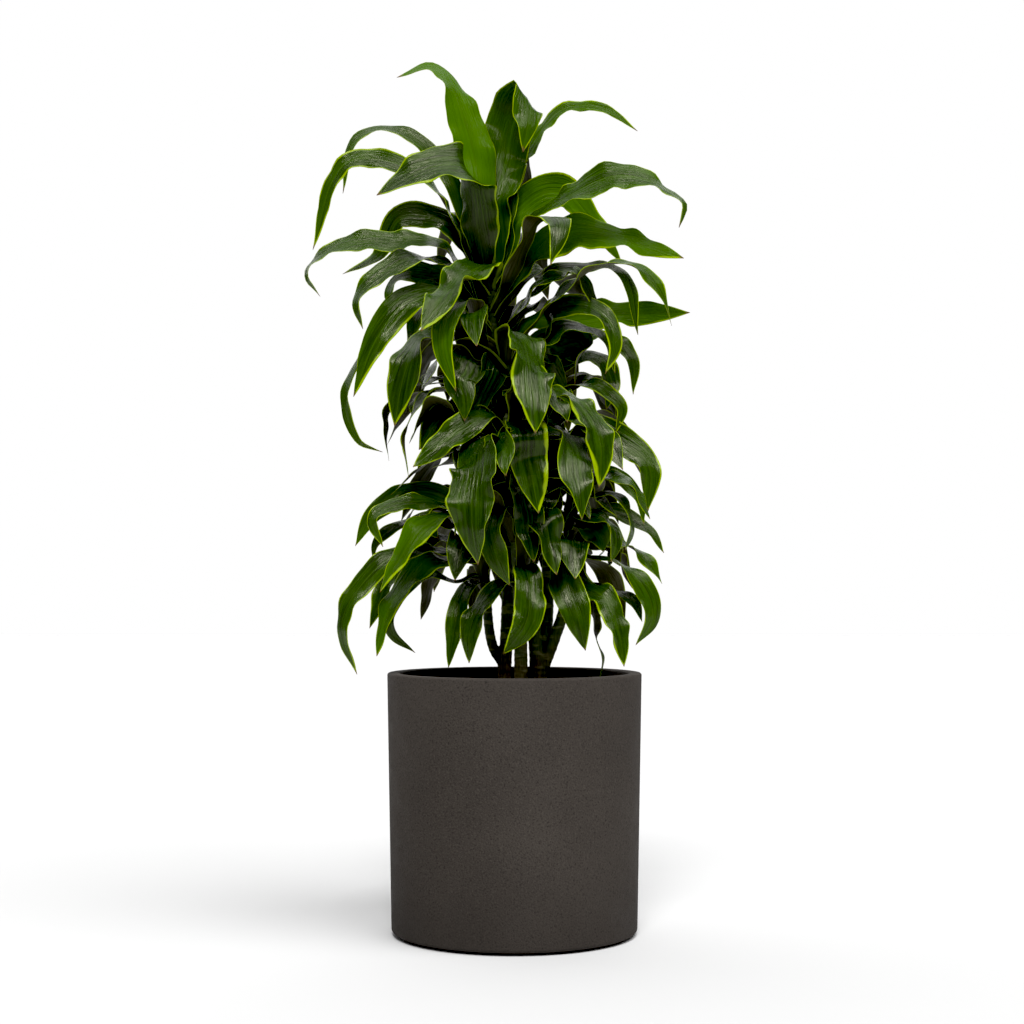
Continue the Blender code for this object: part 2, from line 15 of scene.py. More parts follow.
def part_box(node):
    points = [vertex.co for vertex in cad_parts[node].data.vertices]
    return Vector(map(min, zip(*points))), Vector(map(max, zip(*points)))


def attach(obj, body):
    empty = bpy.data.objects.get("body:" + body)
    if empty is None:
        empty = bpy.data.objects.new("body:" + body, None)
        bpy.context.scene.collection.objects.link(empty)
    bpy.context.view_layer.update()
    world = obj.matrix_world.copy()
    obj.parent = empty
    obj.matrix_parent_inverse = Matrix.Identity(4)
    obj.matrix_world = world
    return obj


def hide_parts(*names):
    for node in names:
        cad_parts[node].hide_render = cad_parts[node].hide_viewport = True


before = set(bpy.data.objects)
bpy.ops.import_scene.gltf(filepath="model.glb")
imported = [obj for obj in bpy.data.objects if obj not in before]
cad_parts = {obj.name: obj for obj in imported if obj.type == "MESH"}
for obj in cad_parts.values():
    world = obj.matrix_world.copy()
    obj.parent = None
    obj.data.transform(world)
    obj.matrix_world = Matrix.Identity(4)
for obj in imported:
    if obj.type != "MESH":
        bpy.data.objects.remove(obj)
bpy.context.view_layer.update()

CM = 0.01
GAP = 0.03
BLADE_THICKNESS = 0.12
ROOT_SHARE = 0.27  # width of a CAD blade at its root, as a share of its widest
WIDEST_FROM, WIDEST_TO = 0.42, 0.5  # where along a leaf it is at its widest
SWELL_POWER = 1.4  # higher keeps a leaf narrow for longer above its root
TIP_POWER = 2.4  # higher keeps it broad for longer before its tip
TWIST_FROM = 0.06  # where along a leaf its twist starts
LAUNCH = 24.0  # lean of a blade from its shoot where it starts, in degrees

# How blades lean clear of each other
SETTLE_STATIONS = 25  # points along a midrib
SAMPLES = 5  # sample points across it
SETTLE_ROUNDS = 60
SMOOTHING = (0.1, 0.25, 0.3, 0.25, 0.1)  # weights of neighbouring points in a move
REACH = 1.0  # how near two sample points must be to count as meeting
SPACING = 0.35  # clearance wanted between blades
MAX_PUSH = 0.5  # furthest that a blade leans in one round
FREE_AFTER = 5.0  # distance from its root from which a blade may lean
ROOT_HOLD = 0.4  # share of that distance in which it can not lean at all

# Fine leaves
ROWS = 60  # cross-sections along a leaf
# Points across it, as shares of the half width
COLUMNS = (-1, -0.93, -0.82, -0.6, -0.3, 0, 0.3, 0.6, 0.82, 0.93, 1)
MID_THICKNESS = 0.11
EDGE_THICKNESS = 0.035
CHANNEL = 0.13  # curvature across a leaf, per centimetre
WAVE = 0.2  # height of the waves along its edges, as a share of the half width
WAVE_LENGTH = 5.5
WAVES_FROM = 7.0  # distance from the root at which the waves are full
WAVES_END = 5.0  # distance from the tip at which they start to die away
CLASP = 2.2  # how far up a leaf its clasping base reaches
CLASP_HALF_WIDTH = 1.0
CLASP_GAP = 0.12  # between the stem and the curve of the clasping base
RIB_DEPTH, RIB_WIDTH = 0.05, 0.25  # groove along the midrib
THIN_FROM = 0.5  # half width under which a leaf gets thinner
WOBBLE = 16.0  # how far a leaf twists to and fro along its length, in degrees
MARGIN = 0.13  # width of the lime edge
FULL_MARGIN_FROM = 3.0  # width of leaf from which the lime edge has that width

# Each shoot: radius at its foot and at its head, and the points that its axis runs through.
SHOOTS = {
    "top": (0.8, 0.62, [(-1.25, 2, 30), (-0.8, 2.5, 44), (-1.7, 2.3, 60), (-2.7, 1, 73), (-3, 0.5, 82)]),
    "upper": (0.85, 0.6, [(2.9, 0.6, 30), (2.5, 0, 36), (1.9, -0.5, 46), (0.2, -1.6, 60), (-1.1, -2.4, 69),
        (-1.4, -2.6, 73)]),
    "middle": (0.9, 0.6, [(0.8, -2, 18), (0.7, -2.2, 38), (0, -3.7, 51), (-0.8, -4.6, 60), (-0.9, -4.8, 63)]),
    "rear": (0.85, 0.6, [(2.9, 0.6, 30), (3.8, 1.3, 36), (4.1, 2.4, 44), (4, 3.4, 56), (3.5, 3.6, 69)]),
    "left": (0.62, 0.5, [(-1.25, 2, 32.6), (-2.5, 1.9, 34.5), (-3.1, 1.7, 37), (-3.5, 1.2, 42),
        (-4.4, 0.1, 50)]),
    "right": (0.8, 0.5, [(2.9, 0.6, 30), (3.5, 0.5, 32.3), (4.9, 0.3, 36), (6.1, -0.3, 40), (6.5, -1.2, 52)]),
}

# Each cane: radius, top height, foot position, and the shoots that fork from it.
# The middle cane carries on straight into its one shoot.
CANES = {
    "cane_left": (0.85, 34.4, (-1.25, 2.0), ("top", "left")),
    "cane_middle": (0.9, 22.0, (0.8, -2.0), ("middle",)),
    "cane_right": (1.1, 34.2, (2.9, 0.6), ("upper", "rear", "right")),
}

# Each blade: height of its root on the shoot, direction that it grows in (0 is right, 90 back, -90 front),
# greatest width, twist in degrees at half length and at the tip, and the points that its midrib runs through.
LEAVES = {}
LEAVES["top"] = [
    (80.4, 150, 5.2, -30, -25, [(-4.3, 1.6, 91.5), (-6.4, 2.8, 100.6), (-9.8, 4, 106.6),
     (-14.6, 3.6, 105.4)]),
    (79.9, 62, 6.4, 25, 40, [(-1.8, 3.4, 91.8), (-0.9, 5, 98.8), (1.1, 3.4, 102.8), (1.6, 0.8, 99.6),
     (1, -0.2, 95.2)]),
    (79.3, -115, 6.5, -35, -65, [(-4.4, -2.4, 85.4), (-5, -4.6, 90.4), (-6.4, -7.4, 92),
     (-10.8, -8.9, 91.2), (-16.2, -9.2, 88.2)]),
    (78.7, 15, 2.5, 40, 60, [(-0.4, 4.6, 92), (2.2, 6.6, 97.6), (6, 7, 102.2), (11.2, 6.4, 102.2),
     (15.4, 5.6, 99.2)]),
    (78.1, 152, 2.1, -50, -20, [(-8.2, 3.6, 92.9), (-13.7, 4.6, 98.8), (-19.6, 4.2, 98), (-21.2, 2.6, 90.8)]),
    (77.5, -165, 2.7, -60, -90, [(-9, 1.2, 90.4), (-15, 0.4, 94.2), (-21, -0.6, 93.4), (-24.5, -1, 83.2)]),
    (76.9, 58, 4.6, 20, 40, [(1.4, 3, 89.6), (6.3, 4.4, 91.2), (9.8, 5, 87.6), (13.4, 4.6, 82.5)]),
    (76.3, -20, 4.4, 50, 30, [(0.6, 0.2, 86.4), (5.5, -1.6, 89), (13, -3, 91.8), (20.2, -3.4, 88.6),
     (19.8, -3.6, 85.4)]),
    (75.7, -38, 3.7, 10, 0, [(0.6, -1.6, 82.6), (3, -4, 86.2), (5.3, -8.4, 85), (4.2, -10.3, 79.8)]),
    (75.1, 5, 4.9, 55, 60, [(3.5, 1.2, 83.8), (8.2, 1, 85.6), (14.2, 0.2, 84.4), (20.6, -1, 82.2)]),
    (74.5, 132, 3.3, -20, -40, [(-7.2, 2.4, 85.6), (-13.8, 3.2, 88.2), (-16.9, 3.6, 83.4), (-21.3, 3.4, 81)]),
    (73.9, -168, 3.5, -60, -20, [(-7.4, 0.2, 82.6), (-14, 0.2, 84.2), (-20.4, -0.4, 84), (-25.2, -1, 80.8),
     (-23.6, -1.6, 77.4)]),
    (73.3, -160, 3.4, -35, -20, [(-7.2, -2, 81.6), (-10.6, -3.6, 82.4), (-15.6, -5.4, 79.8),
     (-18.7, -6.4, 76.4), (-18, -6.8, 72.8)]),
    (78.4, -104, 5, 0, -12, [(-3.2, -3.6, 80.6), (-5, -6.6, 79.8), (-8, -10.2, 76.4), (-10.8, -12.8, 71.8)]),
    (70.3, 25, 4.2, 60, 80, [(5, 3.4, 74.8), (10.3, 4.8, 76), (15.8, 5.4, 76.4), (21.9, 5, 76.4)]),
    (69.7, -172, 3.9, -40, -30, [(-7, -1.8, 77.2), (-12.3, -4, 76.8), (-16.2, -5.6, 72.2),
     (-19.1, -6.8, 64.8)]),
    (68.5, 178, 1.9, -30, -90, [(-9, 2.4, 75.6), (-15.6, 2.8, 74.6), (-20.8, 2.4, 66.6), (-19.4, 2, 60.4),
     (-16.2, 1.4, 58.8)]),
    (67.9, -138, 3.2, 0, 0, [(-4.4, -4.4, 76.2), (-7.4, -8.8, 74.8), (-8.4, -10.6, 70.4), (-6.8, -11, 65)]),
    (67.3, -5, 3.3, 30, 0, [(3.2, -1, 75.2), (8, -3.4, 76.2), (11.2, -5, 74), (12, -5.8, 70.8),
     (10.8, -6, 67.6)]),
    (71.6, 95, 4.6, 0, 0, [(-2.6, 6, 82.5), (-1.6, 13.5, 85.5), (-0.2, 21, 77.5)]),
    (69.1, 120, 4.2, 0, 0, [(-5.4, 6.5, 77), (-9.5, 12.5, 77.5), (-12.5, 17.5, 68.5)]),
]
LEAVES["upper"] = [
    (69.6, -20, 3.6, 30, 20, [(3.8, -3.2, 75), (8.8, -4.2, 80), (13.8, -4.8, 80.8), (17.2, -5.2, 77.8),
     (18.8, -5.4, 73.4)]),
    (68.9, -85, 5.8, 0, 0, [(-0.4, -5.6, 72.6), (1.2, -8.6, 70.6), (2, -13, 65.4), (2.4, -15, 59.8)]),
    (68.2, -150, 5, -35, -50, [(-6, -4.4, 71.8), (-10.8, -6.2, 71.8), (-12.9, -7.4, 67.8),
     (-14.2, -7.8, 61.2)]),
    (67.5, -5, 3.2, 30, 20, [(3.2, -2, 72.6), (7, -2.4, 73.6), (10.6, -2.4, 72.4), (12.2, -2.6, 68)]),
    (65.6, -35, 4.4, 12, 25, [(3.8, -5, 65.8), (7.7, -7.2, 63.8), (10.1, -8.6, 59.2), (9.8, -9.2, 53.8)]),
    (64.6, -150, 3, 0, 0, [(-5.6, -3.4, 66.4), (-9.4, -5.2, 65.8), (-12.9, -6.6, 61), (-12.6, -7, 55.2)]),
    (60.8, -45, 4.7, 0, 0, [(3.4, -4.4, 61.6), (6.2, -7, 60), (7.3, -11, 55), (7.8, -12.5, 50)]),
]
LEAVES["middle"] = [
    (60.6, -165, 3.5, -30, -40, [(-2.8, -6, 62.8), (-5.8, -8.4, 61.3), (-11.8, -11.4, 56.2)]),
    (58.9, -108, 6.4, 0, 0, [(-2.8, -8, 60.2), (-4, -12, 57.6), (-4.9, -15, 51.4), (-4.2, -15.5, 44.8)]),
    (59.8, -62, 4.7, 0, 0, [(0.4, -7.6, 61.6), (1.5, -10.2, 57.8), (2.8, -11.4, 50.8)]),
    (57.6, 176, 4.4, -40, -60, [(-4.8, -3.6, 62.4), (-8.4, -4.6, 62.6), (-11.4, -5.4, 58.6)]),
    (50.6, -118, 3.3, 0, 0, [(-1.9, -6.6, 51.4), (-2.8, -8.8, 49.2), (-2.1, -9.6, 45.8), (-0.6, -9.8, 42.4)]),
    (43.6, -80, 3.8, 0, -10, [(1.2, -6.4, 44.6), (1.7, -8.6, 42.4), (1.4, -10, 38.2), (-1.3, -10.6, 34.4)]),
    (42.2, -150, 3, 0, -20, [(-1.6, -4.6, 42.6), (-4, -6, 40.2), (-5.3, -6.8, 37), (-5.4, -7, 33.2)]),
]
LEAVES["rear"] = [
    (67, 25, 2.2, 20, 60, [(6.6, 4.2, 71.6), (11.2, 4.4, 73.6), (14.6, 3.8, 70.6), (14.7, 3, 66)]),
    (66, 5, 3, 30, 60, [(6.2, 2.6, 69.6), (9.8, 2.4, 70.8), (12, 2, 68), (11.3, 1.4, 64)]),
    (64.6, -25, 2, 30, 90, [(6.4, 1.4, 66.8), (9.8, 0.6, 66.6), (13, 0.2, 64.4), (12.4, 0, 61)]),
    (62.6, 0, 3.6, 40, 40, [(7.2, 1.6, 63.2), (12, 0.4, 60.8), (16.2, -0.8, 57.2), (16.2, -1.4, 51.4)]),
    (65.3, 80, 4.4, 0, 0, [(4.4, 8, 71.5), (5.8, 14.5, 71.5), (7.2, 19.5, 62.5)]),
    (54.2, 60, 4, 0, 0, [(6.5, 8, 58), (9.6, 13.5, 56.5), (12, 17.5, 48)]),
]
LEAVES["left"] = [
    (48.4, 148, 2.9, -50, -40, [(-7.8, 0.6, 52.6), (-12.2, 0, 53.8), (-17, -1.2, 51.2), (-19.3, -1.8, 47.2)]),
    (47.9, -152, 2.4, -30, -60, [(-7.4, -2.2, 51.6), (-12.3, -4.4, 52.4), (-16.8, -5.8, 50.6),
     (-15.6, -6.6, 47)]),
    (47.3, -140, 3.5, 0, -10, [(-6.8, -4.2, 50.6), (-10.6, -7.2, 49.6), (-13.7, -9, 45.2),
     (-15.8, -10, 41.6)]),
    (46, 165, 3.2, -20, -30, [(-6.8, 0.8, 47.2), (-9.6, 0.6, 48.2), (-14, -0.6, 45.8), (-17.6, -1.6, 37.2)]),
    (45.2, -172, 2.8, -20, -10, [(-8.4, -3, 46.6), (-14.2, -5.6, 46), (-18.8, -7, 41.6),
     (-20.4, -7.6, 37.4), (-18.6, -7.8, 31.9)]),
    (44.2, -158, 3.9, -10, -20, [(-7.4, -1.8, 45.2), (-11.4, -3.6, 44.2), (-14.9, -5.4, 39.8),
     (-16.4, -6.2, 34)]),
    (41.8, -135, 2.5, 0, 0, [(-5.6, -2.2, 42.4), (-6.8, -4.2, 39.4), (-7.4, -5, 36), (-7.9, -5.4, 32.6)]),
    (45.6, 110, 3.6, 0, 0, [(-6, 5.5, 50.5), (-8.6, 11.5, 50), (-10.5, 16, 41.5)]),
]
LEAVES["right"] = [
    (50.4, -28, 2.5, 0, 0, [(8.8, -3.6, 53), (12, -4.8, 53.2), (14.1, -5.4, 49.8), (13.2, -5.8, 46.6)]),
    (48.6, 8, 2.5, 30, 40, [(8.8, -0.4, 47.8), (13.4, -0.4, 47.4), (16.4, -0.8, 45.2), (18, -1, 42.6)]),
    (46.6, -8, 2.8, 30, 60, [(8.6, -1.6, 45.8), (12, -2.4, 45.4), (15.6, -3, 42.2), (16.6, -3.2, 38.6),
     (14.6, -3.4, 35.2)]),
    (45.4, -72, 4, 0, 0, [(5.9, -5, 45), (6.1, -7.4, 42.6), (7.3, -8.8, 39.2), (8.3, -9.4, 34.8)]),
    (44.4, -25, 3.4, 0, 0, [(8.4, -3.6, 42.4), (10.8, -5.4, 40.8), (12.4, -6.6, 36.8), (13, -7, 32.8)]),
    (42.4, 15, 2.3, 0, 60, [(8.4, 0.4, 43), (9.8, 0.8, 40.6), (10, 0.8, 36.2), (10.8, 0.4, 33.4),
     (10.4, 0, 30.8)]),
]

# Leaves that the frame has no nodes for: smaller ones, and ones that face back.
MORE_LEAVES = {}
MORE_LEAVES["top"] = [
    (72.1, 12, 2.4, 30, 60, [(3.6, 1.6, 80.4), (8.8, 2, 81.6), (13.4, 2, 80.8), (15.2, 1.6, 73.2)]),
    (71.5, 170, 3, -40, -10, [(-8, 1.2, 79.2), (-12.6, 1.8, 80.8), (-15.3, 1.8, 79), (-14.8, 1.4, 74.8)]),
    (70.9, -28, 2.6, 40, 20, [(2, -2, 78.2), (5.6, -3.4, 79.6), (9, -4, 78.4), (11, -4.2, 74)]),
    (69.1, -150, 2.8, -20, -10, [(-6.2, -2.2, 76.6), (-10.2, -4.2, 76.8), (-12.6, -5, 74.6),
     (-13.2, -5, 70.6)]),
    (66.7, -80, 4, 0, 0, [(-3.6, -4.4, 75), (-4.8, -8.4, 74.4), (-4.4, -11.6, 70.2)]),
    (79.6, 80, 4.6, 0, 0, [(-2.4, 4.5, 90), (-1, 9, 97), (0.8, 14, 96), (2, 17, 90)]),
    (77.9, 110, 4.4, 0, 0, [(-4.6, 5.5, 87), (-7.5, 11.5, 90), (-10, 17, 84)]),
    (76, 75, 4.8, 0, 0, [(-1.4, 6, 84.5), (1.5, 12.5, 87), (4.5, 18.5, 80)]),
    (74.2, 50, 4.4, 0, 0, [(1.5, 5.5, 80), (6.5, 10.5, 81.5), (11.5, 14.5, 75)]),
    (73, 125, 4.6, 0, 0, [(-5.6, 5.6, 79), (-9.5, 10.5, 80.5), (-14, 14.5, 73.5)]),
    (71, 60, 4.2, 0, 0, [(1, 6, 76.5), (4.5, 12, 77.5), (8.5, 17, 69.5)]),
    (69.5, 80, 4.6, 0, 0, [(-1.5, 7, 75.5), (-0.5, 13, 75.5), (1, 18.5, 67)]),
    (67, 140, 4.2, 0, 0, [(-6, 5, 72), (-10.5, 9, 71.5), (-14, 12, 64)]),
    (65.5, 105, 4, 0, 0, [(-3.5, 6.5, 70), (-5.5, 12, 69.5), (-7.5, 17, 61.5)]),
    (64, 165, 3.2, 0, 0, [(-7, 3.5, 67), (-12, 5, 66.5), (-16, 6, 60)]),
    (62.5, 60, 3.8, 0, 0, [(1, 6.5, 66.5), (4, 12, 66), (7, 16, 58.5)]),
    (60.5, 130, 3.8, 0, 0, [(-5.5, 6, 64), (-9.5, 10.5, 63), (-12.5, 14, 55.5)]),
    (58, 90, 3.8, 0, 0, [(-1.5, 7.5, 62), (-1, 13.5, 61.5), (-0.5, 18, 53.5)]),
    (55.5, 150, 3.4, 0, 0, [(-6, 5, 58.5), (-10.5, 8, 57.5), (-14.5, 10, 50.5)]),
]
MORE_LEAVES["upper"] = [
    (66.8, 20, 5, 90, 150, [(2.6, 0.6, 71.6), (6.4, 0.8, 72.6), (8.8, 0.4, 70.4), (7.4, 0, 66.6)]),
    (63.6, 165, 2.4, 0, 0, [(-7.8, 0.6, 66.8), (-13, 1, 66.8), (-15.7, 1, 63), (-15.4, 1, 57.6)]),
    (62.6, -125, 4.6, 0, 0, [(-3.8, -4.6, 69.6), (-6, -7.2, 68), (-6, -8.4, 61.4)]),
    (59.2, 172, 2, -20, 0, [(-6.6, 0.4, 58.8), (-10.8, -0.6, 57.2), (-15, -2, 53.4)]),
]
MORE_LEAVES["middle"] = [
    (55.6, -78, 3.7, 0, 0, [(0.4, -6.6, 55.6), (1.2, -8.2, 52.2), (2.3, -8.8, 45.2)]),
]
MORE_LEAVES["rear"] = [
    (56.6, -10, 2, 30, 60, [(7.2, 1.4, 56), (11.6, 0.4, 56.4), (15, -0.4, 53.4), (15.8, -0.6, 49.8)]),
    (52, 12, 2.2, 40, 60, [(8.2, 2.6, 51.6), (13.2, 2.8, 51.2), (16.8, 2.4, 49), (18.4, 2, 46.4)]),
    (64, 50, 3.8, 0, 0, [(6.5, 6.5, 68.5), (10.5, 10.5, 68), (14, 13.5, 61)]),
    (60.5, 30, 3.6, 0, 0, [(8, 6, 64), (12.5, 8.5, 63), (16.5, 10, 56)]),
    (58.5, 100, 3.8, 0, 0, [(3.2, 9, 62.5), (2.5, 14.5, 61.5), (2, 18.5, 53.5)]),
    (51, 95, 3.6, 0, 0, [(3.8, 8, 54.5), (3.4, 13.5, 53), (3, 17.5, 45.5)]),
    (48.5, 45, 3.4, 0, 0, [(7.5, 6.5, 51.5), (11.5, 10, 50), (15, 12.5, 43.5)]),
    (46.5, 75, 3.2, 0, 0, [(5, 7, 49), (6.5, 12, 47.5), (8, 15.5, 41)]),
    (44.5, 110, 3, 0, 0, [(2.5, 6.5, 46.5), (0.5, 11, 45), (-1, 14.5, 38.5)]),
]
MORE_LEAVES["left"] = [
    (46.7, 178, 2, -30, 0, [(-8, -0.8, 50.2), (-13, -2.2, 50.2), (-16.6, -3.2, 47.6), (-17, -3.4, 44.8)]),
    (43, 172, 1.9, -40, -90, [(-7.2, 0.8, 42.8), (-10.2, 0.8, 43.8), (-14.2, 0.4, 41.2), (-15.2, 0, 37),
     (-12.1, -0.4, 34.2)]),
    (49.2, 80, 3, 0, 0, [(-4.2, 4, 54), (-4, 8.5, 54), (-3.6, 12.5, 48)]),
    (44.6, 75, 3.2, 0, 0, [(-3, 5.5, 48), (-2, 10.5, 47), (-1.4, 14.5, 40)]),
    (43.6, 130, 3.2, 0, 0, [(-6.5, 4.8, 46.5), (-9.5, 8.5, 45.5), (-12, 11.5, 38)]),
    (42.4, 100, 3, 0, 0, [(-4.2, 5, 45), (-4.6, 9.5, 43.5), (-5, 12.5, 36.5)]),
]
MORE_LEAVES["right"] = [
    (49.6, -45, 2.4, 0, 0, [(8.4, -4.8, 51), (11.2, -6.8, 50), (12, -7.6, 47.6), (11.4, -8, 45.2)]),
    (47.6, -35, 3.6, 20, 30, [(8.2, -3, 49.6), (9.6, -4.4, 48.8), (10.6, -5, 46.4)]),
    (43.4, 2, 1.7, 30, 60, [(8.6, -0.8, 42.4), (11.2, -1, 42), (14.4, -1.4, 40.6), (15.5, -1.6, 38)]),
    (51.2, 60, 2.8, 0, 0, [(8, 2, 55.5), (10.5, 5, 55.5), (13, 7.5, 50)]),
    (47, 50, 3.2, 0, 0, [(8.6, 3.2, 49.5), (12, 6.5, 48.5), (15, 9, 42)]),
    (45, 80, 3, 0, 0, [(6.8, 4, 48), (7.6, 8.5, 46.5), (8.6, 12, 40)]),
    (43.8, 40, 3, 0, 0, [(8.2, 3, 45.5), (11.5, 6, 44), (14, 8.5, 37)]),
]


def curve_through(points, first_slope=None, step=0.25):
    """Points about step apart on a smooth curve through points, setting off along first_slope."""
    points = [np.array(p, float) for p in points]
    slopes = []
    for i in range(len(points)):
        before, after = points[max(i - 1, 0)], points[min(i + 1, len(points) - 1)]
        slopes.append((after - before) / np.linalg.norm(after - before))
    if first_slope is not None:
        slopes[0] = np.array(first_slope)
    line = [points[0]]
    for i in range(len(points) - 1):
        a, b = points[i], points[i + 1]
        chord = np.linalg.norm(b - a)
        count = max(2, math.ceil(chord / step))
        for t in np.arange(1, count + 1) / count:
            line.append(
                (2 * t**3 - 3 * t**2 + 1) * a
                + (t**3 - 2 * t**2 + t) * chord * slopes[i]
                + (3 * t**2 - 2 * t**3) * b
                + (t**3 - t**2) * chord * slopes[i + 1]
            )
    return np.array(line)


def spaced(line, count):
    """count points evenly spaced along a line."""
    along = np.concatenate([[0], np.cumsum(np.linalg.norm(np.diff(line, axis=0), axis=1))])
    at = np.linspace(0, along[-1], count)
    return np.stack([np.interp(at, along, line[:, k]) for k in range(3)], axis=1)


def frames(line, side):
    """The direction along a line and the blade's side at each of its points, carried on from the first."""
    ahead = np.gradient(line, axis=0)
    ahead /= np.linalg.norm(ahead, axis=1)[:, None]
    sides = []
    for tangent in ahead:
        side = side - tangent * np.dot(side, tangent)
        side = side / np.linalg.norm(side)
        sides.append(side)
    return ahead, np.array(sides)


def twisted(ahead, sides, half, tip):
    """The sides turned about the midrib: by none at the root, half degrees halfway and tip at the end."""
    share = np.linspace(0, 1, len(sides))
    angles = np.radians(np.interp(share, [TWIST_FROM, 0.5, 1.0], [0, half, tip]))[:, None]
    return np.cos(angles) * sides + np.sin(angles) * np.cross(ahead, sides)


def width_shape(share):
    """Width of a blade along its length, as a share of its widest: narrow, full, then a long tip."""
    swell = np.sin(np.pi / 2 * np.clip(share / WIDEST_FROM, 0, 1))
    rise = ROOT_SHARE + (1 - ROOT_SHARE) * swell**SWELL_POWER
    fall = 1 - np.clip((share - WIDEST_TO) / (1 - WIDEST_TO), 0, 1) ** TIP_POWER
    return rise * fall


class Blade:
    """One leaf: its midrib as evenly spaced points, and the direction that its width lies in at each."""

    def __init__(self, shoot, leaf):
        height, heading, self.width, self.half_twist, self.tip_twist, self.via = leaf
        foot, head, points = SHOOTS[shoot]
        axis = curve_through(points)
        near = int(np.argmin(np.abs(axis[:, 2] - height)))
        up = axis[min(near + 1, len(axis) - 1)] - axis[near - 1]
        up /= np.linalg.norm(up)
        out = np.array([math.cos(math.radians(heading)), math.sin(math.radians(heading)), 0])
        radius = self.radius = foot + (head - foot) * near / len(axis)
        self.side = np.cross(up, out)
        launch = math.radians(LAUNCH)
        root = axis[near] + out * (radius + GAP + BLADE_THICKNESS / 2)
        line = curve_through([root, *self.via], up * math.cos(launch) + out * math.sin(launch))
        self.length = np.linalg.norm(np.diff(line, axis=0), axis=1).sum()
        self.line = spaced(line, SETTLE_STATIONS)
        self.place()

    def place(self):
        """Work out the sides, normals and sample points from the midrib."""
        ahead, sides = frames(self.line, self.side)
        self.sides = twisted(ahead, sides, self.half_twist, self.tip_twist)
        self.normals = np.cross(ahead, self.sides)
        widths = self.width * width_shape(np.linspace(0, 1, len(self.line)))
        across = np.linspace(-0.5, 0.5, SAMPLES)[:, None]
        self.points = (self.line[:, None] + (self.sides * widths[:, None])[:, None] * across).reshape(-1, 3)
        self.point_normals = np.repeat(self.normals, SAMPLES, axis=0)


def settle(blades, fixed=(), rounds=SETTLE_ROUNDS):
    """Lean blades away from each other, from the fixed ones and from the shoots, over a given number of
    rounds.
    """
    everyone = [*blades, *fixed]
    axes = [(curve_through(points, step=1.0), max(foot, head)) for foot, head, points in SHOOTS.values()]
    for _ in range(rounds):
        moves = [np.zeros((SETTLE_STATIONS, 3)) for _ in everyone]
        boxes = [(b.points.min(axis=0) - REACH / 2, b.points.max(axis=0) + REACH / 2) for b in everyone]
        for i, blade in enumerate(blades):
            for j in range(i + 1, len(everyone)):
                if (boxes[i][0] < boxes[j][1]).all() and (boxes[j][0] < boxes[i][1]).all():
                    push_apart(blade, everyone[j], moves[i], moves[j])
        for blade, move in zip(blades, moves):
            for axis, radius in axes:
                keep_off(blade, axis, radius, move)
            gone = np.linspace(0, blade.length, SETTLE_STATIONS)
            free = np.clip(gone / FREE_AFTER - ROOT_HOLD, 0, 1)[:, None]
            padded = np.pad(move * free, ((2, 2), (0, 0)), mode="edge")
            smooth = sum(k * padded[n : n + SETTLE_STATIONS] for n, k in enumerate(SMOOTHING))
            blade.line = blade.line + smooth * free
            blade.place()


def push_apart(one, other, move_one, move_other):
    """Add to two blades' moves what takes them SPACING apart wherever they meet."""
    offsets = one.points[:, None] - other.points[None]
    mine, theirs = np.nonzero(np.einsum("ijk,ijk->ij", offsets, offsets) < REACH**2)
    if not len(mine):
        return
    normals = other.point_normals[theirs]
    apart = (offsets[mine, theirs] * normals).sum(axis=1)
    at_one, at_other = mine // SAMPLES, theirs // SAMPLES
    for run in np.split(np.arange(len(mine)), np.flatnonzero(np.diff(at_one) > 2) + 1):
        way = 1.0 if apart[run].sum() >= 0 else -1.0
        short = np.clip(SPACING - way * apart[run], 0, MAX_PUSH) / 2
        widen(move_one, at_one[run], way * short[:, None] * normals[run])
        widen(move_other, at_other[run], -way * short[:, None] * normals[run])


def widen(moves, stations, pushes):
    """Put each push in place of its station's move where it is the longer."""
    longest = np.argsort(np.linalg.norm(pushes, axis=1), kind="stable")
    found = np.zeros_like(moves)
    found[stations[longest]] = pushes[longest]
    longer = np.linalg.norm(found, axis=1) > np.linalg.norm(moves, axis=1)
    moves[longer] = found[longer]


def keep_off(blade, axis, radius, moves):
    """Add to a blade's moves what keeps it clear of a shoot."""
    low, high = blade.points.min(axis=0) - REACH, blade.points.max(axis=0) + REACH
    if (low > axis.max(axis=0)).any() or (high < axis.min(axis=0)).any():
        return
    offsets = blade.points[:, None] - axis[None]
    gaps = np.linalg.norm(offsets, axis=2)
    nearest = gaps.argmin(axis=1)
    rows = np.arange(len(gaps))
    gap = gaps[rows, nearest]
    away = offsets[rows, nearest] / np.maximum(gap, 0.01)[:, None]
    short = np.clip(radius + SPACING - gap, 0, MAX_PUSH)
    widen(moves, rows // SAMPLES, short[:, None] * away)


# How bright and yellow each leaf is, from 0 to 1, in the order of LEAVES.
TONES = {
    "top": (1.0, 0.48, 0.2, 0.6, 0.35, 0.3, 0.75, 0.4, 0.15, 0.95, 0.2, 0.3, 0.25, 0.3,
        0.85, 0.3, 0.2, 0.45, 0.25, 0.5, 0.4),
    "upper": (0.45, 0.25, 0.2, 0.2, 0.25, 0.3, 0.2),
    "middle": (0.25, 0.2, 0.15, 0.1, 0.25, 0.2, 0.2),
    "rear": (0.2, 0.2, 0.3, 0.25, 0.35, 0.3),
    "left": (0.35, 0.3, 0.6, 0.3, 0.2, 0.7, 0.3, 0.4),
    "right": (0.3, 0.35, 0.3, 0.25, 0.25, 0.2),
}
MORE_TONE, MORE_TONE_SPREAD = 0.18, 0.18  # the same for the leaves that the frame has no nodes for
MORE_LIME = 0.6  # how wide the bright margins of those leaves are, against the others
